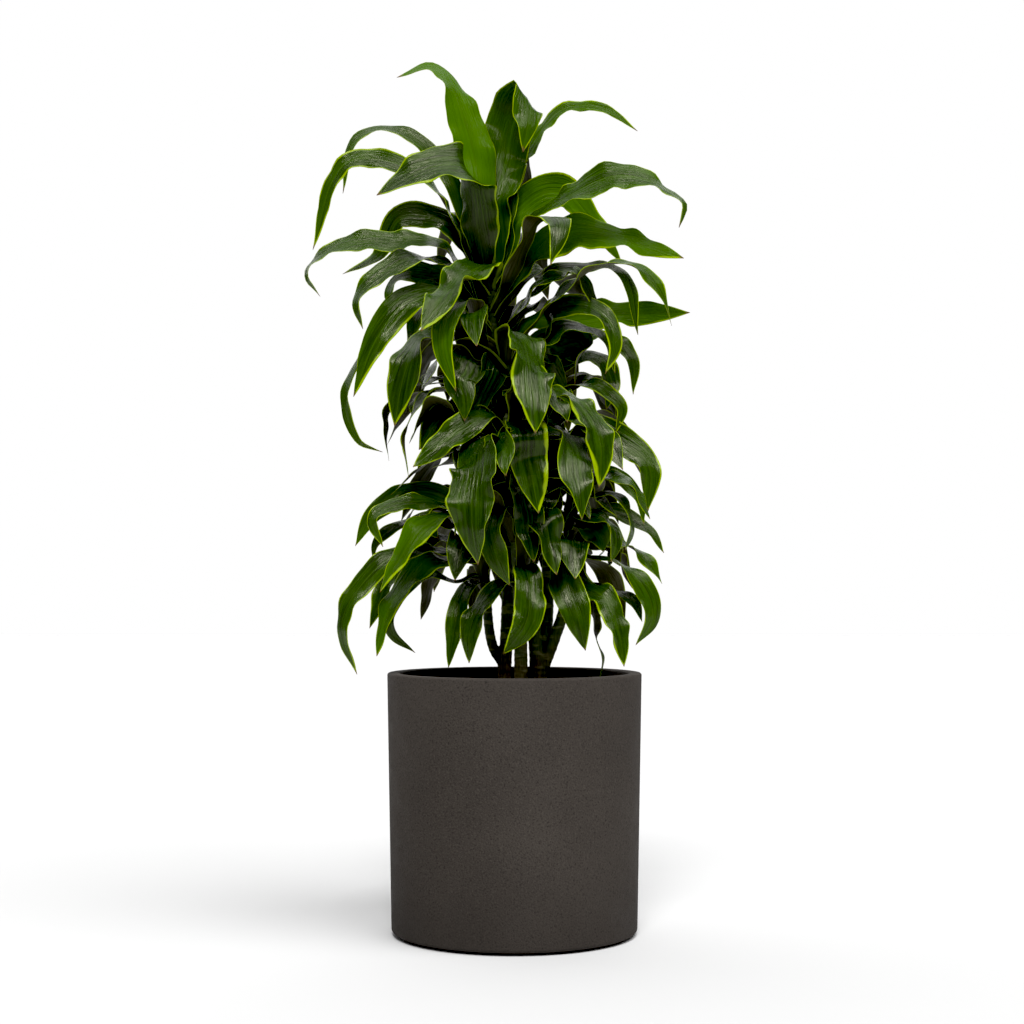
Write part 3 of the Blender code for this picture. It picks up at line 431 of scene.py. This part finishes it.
# Leaves whose bright margins stand out: how wide the one on each side is, against the usual
BRIGHT_EDGES = {
    "top_03": (1.0, 3.4), "top_08": (1.8, 0.8), "top_10": (2.2, 0.8), "top_12": (0.8, 1.8),
    "top_14": (0.8, 3.0), "top_16": (0.8, 1.6), "upper_02": (2.8, 0.9), "upper_03": (0.9, 1.4),
    "upper_05": (2.4, 0.8), "middle_01": (1.0, 1.2), "middle_03": (0.7, 2.6), "left_03": (0.9, 1.8),
}
GREEN_BELOW = ("top_02", "top_03")  # leaves as rich a green below as above


def linked(name, data):
    """A new object in the scene."""
    made = bpy.data.objects.new(name, data)
    bpy.context.scene.collection.objects.link(made)
    return made


class Shader:
    """A Principled material whose nodes are added and joined by short calls."""

    def __init__(self, name, **sockets):
        self.material = bpy.data.materials.new(name)
        self.material.use_nodes = True
        self.tree = self.material.node_tree
        self.surface = self.tree.nodes["Principled BSDF"]
        for socket, value in sockets.items():
            self.surface.inputs[socket.replace("_", " ")].default_value = value

    def add(self, kind, out=0, inputs=(), **settings):
        """A node's output: inputs are (socket, value or output) pairs."""
        node = self.tree.nodes.new(f"ShaderNode{kind}")
        for key, value in settings.items():
            setattr(node, key, value)
        for socket, value in inputs:
            if isinstance(value, bpy.types.NodeSocket):
                self.tree.links.new(value, node.inputs[socket])
            else:
                node.inputs[socket].default_value = value
        return node.outputs[out]

    def math(self, operation, a, b=0.0, clamp=False):
        return self.add("Math", inputs=((0, a), (1, b)), operation=operation, use_clamp=clamp)

    def noise(self, vector, scale, detail=3.0, roughness=0.55):
        pairs = (("Vector", vector), ("Scale", scale), ("Detail", detail), ("Roughness", roughness))
        return self.add("TexNoise", inputs=pairs)

    def ramp(self, value, low, high, from_=0.0, to=1.0):
        """value taken smoothly from low..high to from_..to."""
        pairs = ((0, value), (1, low), (2, high), (3, from_), (4, to))
        return self.add("MapRange", inputs=pairs, interpolation_type="SMOOTHSTEP")

    def mix(self, factor, a, b, blend="MIX"):
        """Two colours mixed."""
        pairs = ((0, factor), (6, colour(a)), (7, colour(b)))
        return self.add("Mix", out=2, inputs=pairs, data_type="RGBA", blend_type=blend)

    def stretched(self, x, x_scale, y, y_scale, z):
        """The vector (x * x_scale, y * y_scale, z)."""
        pairs = ((0, self.math("MULTIPLY", x, x_scale)), (1, self.math("MULTIPLY", y, y_scale)), (2, z))
        return self.add("CombineXYZ", inputs=pairs)

    def split(self, vector):
        return self.add("SeparateXYZ", inputs=((0, vector),)).node.outputs

    def attribute(self, name):
        return self.split(self.add("Attribute", out=1, attribute_name=name))

    def bump(self, height, strength, distance, normal=None):
        pairs = [("Height", height), ("Strength", strength), ("Distance", distance)]
        if normal is not None:
            pairs.append(("Normal", normal))
        return self.add("Bump", inputs=pairs)

    def join(self, **sockets):
        """Link outputs to the surface's sockets."""
        for socket, output in sockets.items():
            self.tree.links.new(output, self.surface.inputs[socket.replace("_", " ")])
        return self.material


def colour(value):
    """A colour socket's value from three numbers, or the output as it is."""
    return (*value, 1) if isinstance(value, tuple) else value


DARK_GREEN = (0.006, 0.0165, 0.0008)
BRIGHT_GREEN = (0.056, 0.133, 0.0006)
LIME = (0.26, 0.37, 0.003)
PALE_RIB = (0.06, 0.11, 0.012)
DRY = (0.16, 0.09, 0.035)
UNDER_DARK = (0.018, 0.021, 0.007)
UNDER_PALE = (0.088, 0.086, 0.038)
GLOSS = (1.0, 0.97, 0.74, 1.0)  # tint of its reflections
SEED_SHIFT = 61.0  # spreads the leaves over the noise, so that no two look alike


def leaf_material(name, under):
    """A leaf's face: leaf_at is (across, along, from edge) and leaf_look is (tone, seed, margin)."""
    made = Shader(name, Roughness=0.5, Specular_IOR_Level=0.25, Specular_Tint=GLOSS)
    across, along, edge = made.attribute("leaf_at")
    tone, seed, margin = made.attribute("leaf_look")
    shift = made.math("MULTIPLY", seed, SEED_SHIFT)

    def spots(x, x_scale, y_scale, scale=1.0, detail=3.0):
        return made.noise(made.stretched(x, x_scale, along, y_scale, shift), scale, detail)

    veins = spots(across, 8.0, 9.0)
    stripes = spots(across, 2.6, 2.2)
    blotch = spots(across, 1.0, 12.0, 0.6)
    patches = spots(made.math("SIGN", across), 7.0, 5.0, detail=2.0)

    # Body: striped, veined and blotched, paler towards the edges, with painted shade darkening it towards the
    # root
    level = made.math("ADD", tone, made.ramp(stripes, 0.35, 0.7, -0.22, 0.08))
    level = made.math("ADD", level, made.ramp(veins, 0.3, 0.7, 0.0, 0.12))
    level = made.math("ADD", level, made.ramp(blotch, 0.3, 0.7, 0.0, 0.1), clamp=True)
    level = made.math("ADD", level, made.ramp(edge, 0.9, 0.15, 0.0, 0.12))
    # Painted shade: each leaf darker towards its root, where the crown shades it
    level = made.math("MULTIPLY", level, made.ramp(along, 0.08, 0.42, 0.4, 1.0))
    body = made.mix(level, UNDER_DARK if under else DARK_GREEN, UNDER_PALE if under else BRIGHT_GREEN)
    rib = made.ramp(made.math("ABSOLUTE", across), 0.03, 0.1, 0.3, 0.0)
    body = made.mix(rib, body, PALE_RIB)

    # Ragged lime margin and dry tip
    ragged = made.math("MULTIPLY", margin, made.ramp(patches, 0.3, 0.7, 0.35, 1.5))
    lime = made.ramp(made.math("DIVIDE", edge, ragged), 0.55, 1.15, 0.75 if under else 1.0, 0.0)
    body = made.mix(lime, body, LIME)
    dry = made.ramp(made.math("ADD", along, made.math("MULTIPLY", veins, 0.03)), 0.985, 1.01)
    body = made.mix(dry, body, DRY)

    rough = made.ramp(blotch, 0.3, 0.7, 0.46 if under else 0.16, 0.6 if under else 0.3)
    relief = made.bump(veins, 0.7, 0.0012)
    relief = made.bump(stripes, 0.6, 0.003, relief)
    if under:
        return made.join(Base_Color=body, Roughness=rough, Normal=relief)
    shine = made.math("ADD", tone, made.math("MULTIPLY", blotch, 0.3))
    shine = made.ramp(shine, 0.2, 0.9, 0.36, 0.05)
    return made.join(Base_Color=body, Roughness=rough, Normal=relief, Specular_IOR_Level=shine)


def leaf_rows(blade, rng):
    """A leaf's midrib, sides and normals at ROWS places, and how far along it each is."""
    line = spaced(curve_through(blade.line, step=0.3), ROWS)
    ahead, sides = frames(line, blade.side)
    sides = twisted(ahead, sides, blade.half_twist, blade.tip_twist)
    share = np.linspace(0, 1, ROWS)
    swing = rng.uniform(0.6, 1.3) * WOBBLE
    wobble = swing * np.sin(2 * math.pi * (share * rng.uniform(1.2, 2.4) + rng.random()))
    wobble = np.radians(wobble * np.clip(share * 4 - 0.5, 0, 1))[:, None]
    sides = np.cos(wobble) * sides + np.sin(wobble) * np.cross(ahead, sides)
    return line, sides, np.cross(ahead, sides), share


def leaf_points(blade, rng):
    """Points of a leaf's upper and then under face, row by row, and leaf_at for each."""
    line, sides, normals, share = leaf_rows(blade, rng)
    gone = share * blade.length
    half = np.maximum(blade.width * width_shape(share), 0.05) / 2
    clasp = np.exp(-((gone / CLASP) ** 2))
    half = half * (1 - clasp) + np.maximum(half, CLASP_HALF_WIDTH) * clasp
    bend = CHANNEL * (1 - clasp) + clasp / (blade.radius + CLASP_GAP)
    start, end = np.clip(gone / WAVES_FROM, 0, 1), np.clip((blade.length - gone) / WAVES_END, 0, 1)
    wave = WAVE * rng.uniform(0.7, 1.3) * start * end
    turn = 2 * math.pi * gone / (WAVE_LENGTH * rng.uniform(0.8, 1.3))
    phases = rng.uniform(0, 2 * math.pi, 2)
    droop = rng.uniform(-0.03, 0.08)
    thin = np.clip(half / THIN_FROM, 0.35, 1)
    top, bottom, at = [], [], []
    for u in COLUMNS:
        reach = u * half
        angle = bend * reach
        aside = np.sin(angle) / bend
        lift = (1 - np.cos(angle)) / bend
        phase = phases[int(u > 0)]
        ripple = np.sin(turn + phase) + 0.4 * np.sin(1.9 * turn + 2 * phase)
        lift = lift + half * wave * u * u * ripple - half * droop * u * u * start
        lift = lift - RIB_DEPTH * np.exp(-((reach / RIB_WIDTH) ** 2)) * (1 - clasp)
        middle = line + sides * aside[:, None] + normals * lift[:, None]
        thick = (EDGE_THICKNESS + (MID_THICKNESS - EDGE_THICKNESS) * (1 - abs(u)) ** 0.7) * thin
        top.append(middle + normals * thick[:, None] / 2)
        bottom.append(middle - normals * thick[:, None] / 2)
        at.append(np.stack([reach, share, half - np.abs(reach)], axis=1))
    points = np.concatenate([np.stack(face, axis=1).reshape(-1, 3) for face in (top, bottom)])
    return points, np.tile(np.stack(at, axis=1).reshape(-1, 3), (2, 1))


def leaf_faces():
    """The quads of a leaf's faces and edges, and for each whether it is on the under face."""
    count = len(COLUMNS)
    low = ROWS * count
    faces, under = [], []
    for row in range(ROWS - 1):
        a = row * count
        for c in range(a, a + count - 1):
            faces.append((c, c + 1, c + count + 1, c + count))
            faces.append((low + c, low + c + count, low + c + count + 1, low + c + 1))
            under += [0, 1]
        b = a + count - 1
        faces.append((a, a + count, low + a + count, low + a))
        faces.append((b, low + b, low + b + count, b + count))
        under += [0, 0]
    last = (ROWS - 1) * count
    for c in range(count - 1):
        end = last + c
        faces += [(c, low + c, low + c + 1, c + 1), (end, end + 1, low + end + 1, low + end)]
        under += [0, 0]
    return faces, under


def add_leaf(name, blade, tone, seed, materials, edges):
    """One leaf: clasping at its root, channelled along the middle, with waved edges and a thin tip."""
    rng = np.random.default_rng(seed)
    points, places = leaf_points(blade, rng)
    faces, under = leaf_faces()
    mesh = bpy.data.meshes.new(name)
    mesh.from_pydata((points * CM).tolist(), [], faces)
    spread = np.clip(np.exp(rng.normal(0, 0.4, 2)), 0.5, 1.6)
    margins = MARGIN * spread * min(1.0, blade.width / FULL_MARGIN_FROM) * edges
    bands = np.array([margins[int(u > 0)] for u in COLUMNS])
    look = np.empty((len(points), 3))
    look[:, 0], look[:, 1], look[:, 2] = tone, rng.random(), np.tile(bands, 2 * ROWS)
    for attribute, values in (("leaf_at", places), ("leaf_look", look)):
        made = mesh.attributes.new(attribute, "FLOAT_VECTOR", "POINT")
        made.data.foreach_set("vector", values.astype("f").ravel())
    for material in materials:
        mesh.materials.append(material)
    mesh.polygons.foreach_set("material_index", under)
    mesh.polygons.foreach_set("use_smooth", [True] * len(faces))
    mesh.update()
    leaf = linked(name, mesh)
    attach(leaf, "root")
    return leaf


GOLDEN_ANGLE = 137.5
# Where each shoot's inner leaves start and end, and how many there are
INNER = {
    "top": (47.0, 66.0, 11),
    "upper": (44.0, 66.5, 10),
    "middle": (42.0, 62.0, 9),
    "rear": (43.0, 66.0, 10),
    "left": (41.0, 49.5, 3),
    "right": (41.5, 51.0, 4),
}
INNER_WIDTH = 4.2
INNER_REACH, REACH_SPREAD = 10.5, 1.8
INNER_RISE = ((0.35, 5.0), (0.7, 5.2), (1.0, 0.5))  # share of the reach, and height over the root
INNER_FIRST = 50  # number of the first inner leaf of each shoot, after those of MORE_LEAVES


def inner_leaves():
    """Short inner leaves, set round each shoot by the golden angle."""
    found = []
    for shoot, (low, high, count) in INNER.items():
        axis = curve_through(SHOOTS[shoot][2])
        for n in range(count):
            height = low + (high - low) * (n + 0.5) / count
            heading = math.radians(GOLDEN_ANGLE * n + 50 * low)
            out = np.array([math.cos(heading), math.sin(heading), 0])
            root = axis[int(np.argmin(np.abs(axis[:, 2] - height)))]
            reach = INNER_REACH + REACH_SPREAD * math.sin(3.1 * n + low)
            via = [root + out * reach * share + np.array([0, 0, rise]) for share, rise in INNER_RISE]
            blade = Blade(shoot, (height, math.degrees(heading), INNER_WIDTH, 0, 0, via))
            found.append((shoot, n + INNER_FIRST, blade))
    return found


MORE_ROUNDS = 25
MORE_SEED = 1000


def blades(table):
    """The shoot, number and blade of each leaf in a table."""
    rows = [(shoot, n, leaf) for shoot, leaves in table.items() for n, leaf in enumerate(leaves, 1)]
    return [(shoot, n, Blade(shoot, leaf)) for shoot, n, leaf in rows]


def add_leaves():
    """Every leaf of the frame, and then the rest, which lean clear of them."""
    face, back = leaf_material("leaf_face", False), leaf_material("leaf_back", True)
    main, more = blades(LEAVES), blades(MORE_LEAVES) + inner_leaves()
    settle([blade for _, _, blade in main])
    settle([blade for _, _, blade in more], [blade for _, _, blade in main], MORE_ROUNDS)
    for seed, (shoot, n, blade) in enumerate(main):
        place = f"{shoot}_{n:02d}"
        edges = BRIGHT_EDGES.get(place, (1.0, 1.0))
        pair = (face, face) if place in GREEN_BELOW else (face, back)
        leaf = add_leaf(f"fine_leaf_{place}", blade, TONES[shoot][n - 1], seed, pair, edges)
        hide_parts(f"leaf_{place}")
    for seed, (shoot, n, blade) in enumerate(more, MORE_SEED):
        tone = MORE_TONE + MORE_TONE_SPREAD * math.sin(2.4 * seed)
        lime = (MORE_LIME, MORE_LIME)
        leaf = add_leaf(f"more_leaf_{shoot}_{n:02d}", blade, tone, seed, (face, back), lime)


def add_object(name, mesh, material, slot, *nodes):
    """A finished mesh as a piece that stands for CAD nodes."""
    mesh.materials.append(material)
    mesh.polygons.foreach_set("use_smooth", [True] * len(mesh.polygons))
    made = linked(name, mesh)
    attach(made, "root")
    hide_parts(*nodes)
    return made


def arc(centre, radius, start, end, count=6):
    """Points on an arc of a profile, with angles in degrees from +r towards +z."""
    angles = np.radians(np.linspace(start, end, count))
    return [(centre[0] + radius * math.cos(a), centre[1] + radius * math.sin(a)) for a in angles]


def turned(name, profile, steps):
    """A closed surface turned about Z from (radius, height) points that start and end on the axis."""
    rings = np.array(profile[1:-1])
    angles = np.linspace(0, 2 * math.pi, steps, endpoint=False)
    verts = [(r * math.cos(a), r * math.sin(a), z) for r, z in rings for a in angles]
    low, high = len(verts), len(verts) + 1
    verts += [(0, 0, profile[0][1]), (0, 0, profile[-1][1])]
    last = (len(rings) - 1) * steps
    faces = []
    for k in range(steps):
        n = (k + 1) % steps
        for ring in range(0, last, steps):
            faces.append((ring + k, ring + n, ring + steps + n, ring + steps + k))
        faces += [(low, n, k), (high, last + k, last + n)]
    mesh = bpy.data.meshes.new(name)
    mesh.from_pydata(verts, [], faces)
    return mesh


POT_STEPS = 192
TAPER = 0.005  # how much narrower the planter is at its foot than at its rim
WALL = 0.016
INNER_FLOOR = 0.024  # height of its bottom inside
FOOT_INSET = 0.009
FOOT_HEIGHT = 0.0035
LOW_ROUND = 0.0045
RIM_ROUND = 0.003


def pot_material():
    """Fibre and stone composite: warm dark grey with a fine sandy grain, pits and soft mottling, and painted
    shade towards its foot.
    """
    made = Shader("sandy_grey", Specular_IOR_Level=0.2)
    place = made.add("TexCoord", out=3)
    height = made.split(place)[2]
    grain = made.noise(place, 900.0, 2.0, 0.6)
    sand = made.noise(place, 480.0, 3.0, 0.6)
    mottle = made.noise(place, 28.0, 4.0, 0.6)
    clouds = made.noise(place, 6.0, 3.0, 0.5)
    body = made.mix(made.ramp(clouds, 0.3, 0.7), (0.039, 0.033, 0.0285), (0.052, 0.0445, 0.0385))
    body = made.mix(made.ramp(mottle, 0.35, 0.75, 0.0, 0.45), body, (0.054, 0.047, 0.041))
    body = made.mix(made.ramp(sand, 0.5, 0.74, 0.0, 0.4), body, (0.085, 0.073, 0.062))
    body = made.mix(made.ramp(sand, 0.47, 0.28, 0.0, 0.75), body, (0.016, 0.0135, 0.012))
    # Painted shade: the planter darker towards its foot, near the floor
    body = made.mix(made.ramp(height, 0.16, 0.0, 0.0, 0.4), body, (0.022, 0.0185, 0.0165))
    relief = made.bump(grain, 0.5, 0.0006)
    relief = made.bump(sand, 0.45, 0.0012, relief)
    rough = made.ramp(mottle, 0.3, 0.7, 0.72, 0.9)
    return made.join(Base_Color=body, Normal=relief, Roughness=rough)


def add_pot():
    """The planter, with its rim and lower edge rounded, on a recessed foot."""
    rim, _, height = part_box("pot")[1]
    base = rim - TAPER
    foot = base - FOOT_INSET
    profile = [(0, 0), (foot, 0), (foot, FOOT_HEIGHT)]
    profile += arc((base - LOW_ROUND, FOOT_HEIGHT + LOW_ROUND), LOW_ROUND, -90, 0)
    profile += arc((rim - RIM_ROUND, height - RIM_ROUND), RIM_ROUND, 0, 90)
    profile += arc((rim - WALL + RIM_ROUND, height - RIM_ROUND), RIM_ROUND, 90, 180)
    profile += [(base - WALL, INNER_FLOOR), (0, INNER_FLOOR)]
    add_object("planter", turned("planter", profile, POT_STEPS), pot_material(), "pot_grey", "pot")


SOIL_RINGS = 46
SOIL_STEPS = 150
SOIL_CROWN = 0.005  # how much lower the compost is at its rim than in the middle
SOIL_INSET = 0.002
SOIL_ROUGH = 0.0018
SOIL_TAPER = 0.004  # how much narrower it is at its bottom
CRUMBS = 900
SOIL_SEED = 5
CRUMB_SIZES = (0.0008, 0.0032)


def soil_material():
    """Dark moist compost with browner crumbs."""
    made = Shader("compost_dark", Specular_IOR_Level=0.3)
    place = made.add("TexCoord", out=3)
    fine = made.noise(place, 420.0, 4.0, 0.65)
    lumps = made.noise(place, 90.0, 3.0, 0.6)
    body = made.mix(made.ramp(lumps, 0.35, 0.7), (0.012, 0.008, 0.006), (0.035, 0.022, 0.014))
    body = made.mix(made.ramp(fine, 0.6, 0.75, 0.0, 0.7), body, (0.09, 0.058, 0.035))
    relief = made.bump(fine, 0.9, 0.002)
    return made.join(Base_Color=body, Normal=relief, Roughness=made.ramp(fine, 0.3, 0.7, 0.75, 0.98))


class Compost:
    """The crumbly top of the compost, slightly crowned, within the CAD compost's box."""

    def __init__(self):
        low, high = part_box("soil")
        self.radius, self.top, self.floor = high[0], high[2], low[2]

    def level(self, x, y):
        """Height of the surface at a place."""
        rough = noise.fractal(Vector((x, y, 0)) * 60, 0.8, 2.2, 4) * SOIL_ROUGH
        return self.top - SOIL_CROWN * (math.hypot(x, y) / self.radius) ** 2 - SOIL_INSET + rough

    def body(self, bm):
        """The whole compost: the rings of its surface, its side and its flat bottom."""
        angles = np.linspace(0, 2 * math.pi, SOIL_STEPS, endpoint=False)
        verts = [(0, 0, self.level(0, 0))]
        for share in np.linspace(0, 1, SOIL_RINGS)[1:]:
            for a in angles:
                x, y = self.radius * share * math.cos(a), self.radius * share * math.sin(a)
                verts.append((x, y, self.level(x, y)))
        inner = self.radius - SOIL_TAPER
        bottom = len(verts)
        outer = bottom - SOIL_STEPS
        verts += [(inner * math.cos(a), inner * math.sin(a), self.floor) for a in angles]
        verts.append((0, 0, self.floor))
        made = [bm.verts.new(v) for v in verts]
        for k in range(SOIL_STEPS):
            n = (k + 1) % SOIL_STEPS
            faces = [(0, 1 + k, 1 + n)]
            for ring in range(1, outer, SOIL_STEPS):
                faces.append((ring + k, ring + SOIL_STEPS + k, ring + SOIL_STEPS + n, ring + n))
            faces.append((outer + k, bottom + k, bottom + n, outer + n))
            faces.append((bottom + k, bottom + SOIL_STEPS, bottom + n))
            for face in faces:
                bm.faces.new([made[i] for i in face])

    def crumb(self, bm, rng):
        """One loose crumb of bark lying on the surface."""
        size = rng.uniform(*CRUMB_SIZES)
        reach, a = self.radius * 0.96 * math.sqrt(rng.random()), rng.uniform(0, 2 * math.pi)
        x, y = reach * math.cos(a), reach * math.sin(a)
        made = bmesh.ops.create_icosphere(bm, subdivisions=1, radius=size)
        stretch = rng.uniform(0.5, 1.5, 3)
        spin = rng.uniform(0, 2 * math.pi)
        for v in made["verts"]:
            v.co = Vector([c * s for c, s in zip(v.co, stretch)]) * rng.uniform(0.85, 1.15)
            px, py = v.co.x, v.co.y
            v.co.x = px * math.cos(spin) - py * math.sin(spin) + x
            v.co.y = px * math.sin(spin) + py * math.cos(spin) + y
            v.co.z += self.level(x, y) + size * 0.3


def add_soil():
    """Compost, with loose bark crumbs lying on it."""
    compost = Compost()
    bm = bmesh.new()
    compost.body(bm)
    rng = np.random.default_rng(SOIL_SEED)
    for _ in range(CRUMBS):
        compost.crumb(bm, rng)
    bmesh.ops.recalc_face_normals(bm, faces=bm.faces)
    mesh = bpy.data.meshes.new("soil_fine")
    bm.to_mesh(mesh)
    bm.free()
    add_object("compost", mesh, soil_material(), "compost", "soil")


TUBE_SIDES = 28
STEM_STEP = 0.12  # between a stem's cross-sections
SCAR_HEIGHT, SCAR_WIDTH = 0.05, 0.13
SCAR_GAPS = (0.6, 1.2)
CANE_TAPER = 0.97  # radius at a cane's top, as a share of that at its foot
HEAD = 1.2  # length over which a shoot narrows to its end
BARK_SEED = 12
VOXEL = 0.0011


def cane_material():
    """Ringed bark that turns from brown at the foot to green under the leaves."""
    made = Shader("ringed_bark", Specular_IOR_Level=0.4)
    place = made.add("TexCoord", out=3)
    x, y, z = made.split(place)
    fibres = made.noise(made.stretched(x, 6.0, y, 6.0, z), 90.0, 4.0, 0.6)
    rings = made.noise(made.stretched(x, 0.25, y, 0.25, z), 140.0, 2.0, 0.5)
    patch = made.noise(place, 45.0, 3.0, 0.6)
    brown = made.mix(made.ramp(fibres, 0.35, 0.7), (0.045, 0.029, 0.014), (0.15, 0.1, 0.05))
    brown = made.mix(made.ramp(rings, 0.6, 0.72, 0.0, 0.7), brown, (0.26, 0.21, 0.12))
    green = made.mix(made.ramp(fibres, 0.3, 0.7), (0.02, 0.034, 0.007), (0.06, 0.085, 0.02))
    green = made.mix(made.ramp(rings, 0.56, 0.66, 0.0, 0.55), green, (0.2, 0.22, 0.09))
    height = made.math("ADD", z, made.math("MULTIPLY", patch, 0.12))
    body = made.mix(made.ramp(height, 0.34, 0.43), brown, green)
    relief = made.bump(rings, 0.8, 0.003)
    relief = made.bump(fibres, 0.5, 0.0012, relief)
    return made.join(Base_Color=body, Normal=relief, Roughness=made.ramp(fibres, 0.3, 0.7, 0.5, 0.8))


def add_tube(bm, axis, radii):
    """A closed tube along an axis, in centimetres, with a radius at each of its points."""
    ahead, sides = frames(axis, np.array([1.0, 0.0, 0.0]))
    across = np.cross(ahead, sides)
    angles = np.linspace(0, 2 * math.pi, TUBE_SIDES, endpoint=False)
    rings = []
    for at, a, b, r in zip(axis, sides, across, radii):
        around = [at + r * (a * math.cos(t) + b * math.sin(t)) for t in angles]
        rings.append([bm.verts.new(Vector(CM * point)) for point in around])
    for one, two in zip(rings, rings[1:]):
        for k in range(TUBE_SIDES):
            n = (k + 1) % TUBE_SIDES
            bm.faces.new((one[k], one[n], two[n], two[k]))
    bm.faces.new(rings[0][::-1])
    bm.faces.new(rings[-1])


def ringed(length, base, rng):
    """Radii at each STEM_STEP along a stem of a base radius: raised leaf scars SCAR_GAPS apart."""
    at = np.arange(0, length, STEM_STEP)
    radii = np.interp(at, [0, length], base)
    scar = rng.uniform(0.2, 0.8)
    while scar < length:
        radii += SCAR_HEIGHT * np.exp(-(((at - scar) / SCAR_WIDTH) ** 2))
        scar += rng.uniform(*SCAR_GAPS)
    return at, radii


def cane_tubes(name, rng):
    """A mesh of a cane's tube and the tubes of the shoots that fork from it."""
    radius, top, (x, y), shoots = CANES[name]
    bm = bmesh.new()
    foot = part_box(name)[0][2] / CM
    at, radii = ringed(top - foot, (radius, radius * CANE_TAPER), rng)
    add_tube(bm, np.stack([np.full_like(at, x), np.full_like(at, y), foot + at], axis=1), radii)
    for shoot in shoots:
        first, last, points = SHOOTS[shoot]
        line = curve_through(points)
        length = np.linalg.norm(np.diff(line, axis=0), axis=1).sum()
        at, radii = ringed(length, (first, last), rng)
        radii *= np.clip((length - at) / HEAD, 0.25, 1) ** 0.5
        add_tube(bm, spaced(line, len(at)), radii)
    mesh = bpy.data.meshes.new(f"{name}_tubes")
    bm.to_mesh(mesh)
    bm.free()
    return mesh


def add_canes():
    """The canes, each one skin with the shoots that fork from it."""
    bark = cane_material()
    rng = np.random.default_rng(BARK_SEED)
    for name in CANES:
        source = linked(f"{name}_tubes", cane_tubes(name, rng))
        skin = source.modifiers.new("skin", "REMESH")
        skin.mode = "VOXEL"
        skin.voxel_size = VOXEL
        smooth = source.modifiers.new("soften", "SMOOTH")
        smooth.factor, smooth.iterations = 0.5, 4
        fine = bpy.data.meshes.new_from_object(source.evaluated_get(bpy.context.evaluated_depsgraph_get()))
        bpy.data.objects.remove(source)
        add_object(f"{name}_bark", fine, bark, "bark", name)


FLOOR_HALF = 12.0
FLOOR_GREY = 0.635


def add_floor():
    """A wide pale floor."""
    mesh = bpy.data.meshes.new("floor")
    corners = [(-1, -1), (1, -1), (1, 1), (-1, 1)]
    mesh.from_pydata([(x * FLOOR_HALF, y * FLOOR_HALF, 0) for x, y in corners], [], [(0, 1, 2, 3)])
    tone = (FLOOR_GREY, FLOOR_GREY, FLOOR_GREY, 1)
    made = Shader("floor_white", Base_Color=tone, Roughness=0.9, Specular_IOR_Level=0.1)
    mesh.materials.append(made.material)
    linked("floor", mesh)


SKY = 0.16  # strength of the surroundings as a light
BLACK = 0.01  # what is darker than this is shown as black
# Each light: name, direction that it shines from, spread in degrees, strength
LIGHTS = (
    ("key", (0.85, -0.85, 2.1), 44, 2.35),
    ("overhead", (-0.1, -1.1, 1.4), 16, 2.0),
    ("back", (-0.4, 1.3, 1.4), 80, 1.4),
)


def add_light(name, direction, angle, strength):
    """A far soft light that shines from a direction, spread over an angle in degrees."""
    light = bpy.data.lights.new(name, "SUN")
    light.angle = math.radians(angle)
    light.energy = strength
    lamp = linked(name, light)
    lamp.location = direction
    lamp.rotation_euler = Vector(direction).to_track_quat("Z", "Y").to_euler()


def add_world():
    """White surroundings: full white where they are seen, softer where they light."""
    world = bpy.data.worlds.new("studio")
    world.use_nodes = True
    tree = world.node_tree
    backdrop = tree.nodes["Background"]
    backdrop.inputs["Color"].default_value = (1, 1, 1, 1)
    rays = tree.nodes.new("ShaderNodeLightPath")
    strength = tree.nodes.new("ShaderNodeMapRange")
    strength.inputs[3].default_value = SKY
    tree.links.new(rays.outputs["Is Camera Ray"], strength.inputs[0])
    tree.links.new(strength.outputs[0], backdrop.inputs["Strength"])
    bpy.context.scene.world = world


CAMERA_AT = (-0.003, -2.32, 0.433)
LENS = 66.8
SHIFT = 0.0645  # how far the horizon lies under the middle of the picture, as a share of its width


def add_camera():
    """The camera, level and in front."""
    data = bpy.data.cameras.new("camera")
    data.lens, data.shift_y = LENS, SHIFT
    camera = linked("camera", data)
    camera.location = CAMERA_AT
    camera.rotation_euler = (math.radians(90), 0, 0)
    bpy.context.scene.camera = camera


def main():
    scene = bpy.context.scene
    scene.view_settings.view_transform = "Standard"
    scene.view_settings.use_curve_mapping = True
    scene.view_settings.curve_mapping.black_level = (BLACK,) * 3
    scene.view_settings.curve_mapping.update()
    add_pot()
    add_soil()
    add_canes()
    add_leaves()
    add_floor()
    add_world()
    for name, direction, angle, strength in LIGHTS:
        add_light(name, direction, angle, strength)
    add_camera()
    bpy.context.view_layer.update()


main()
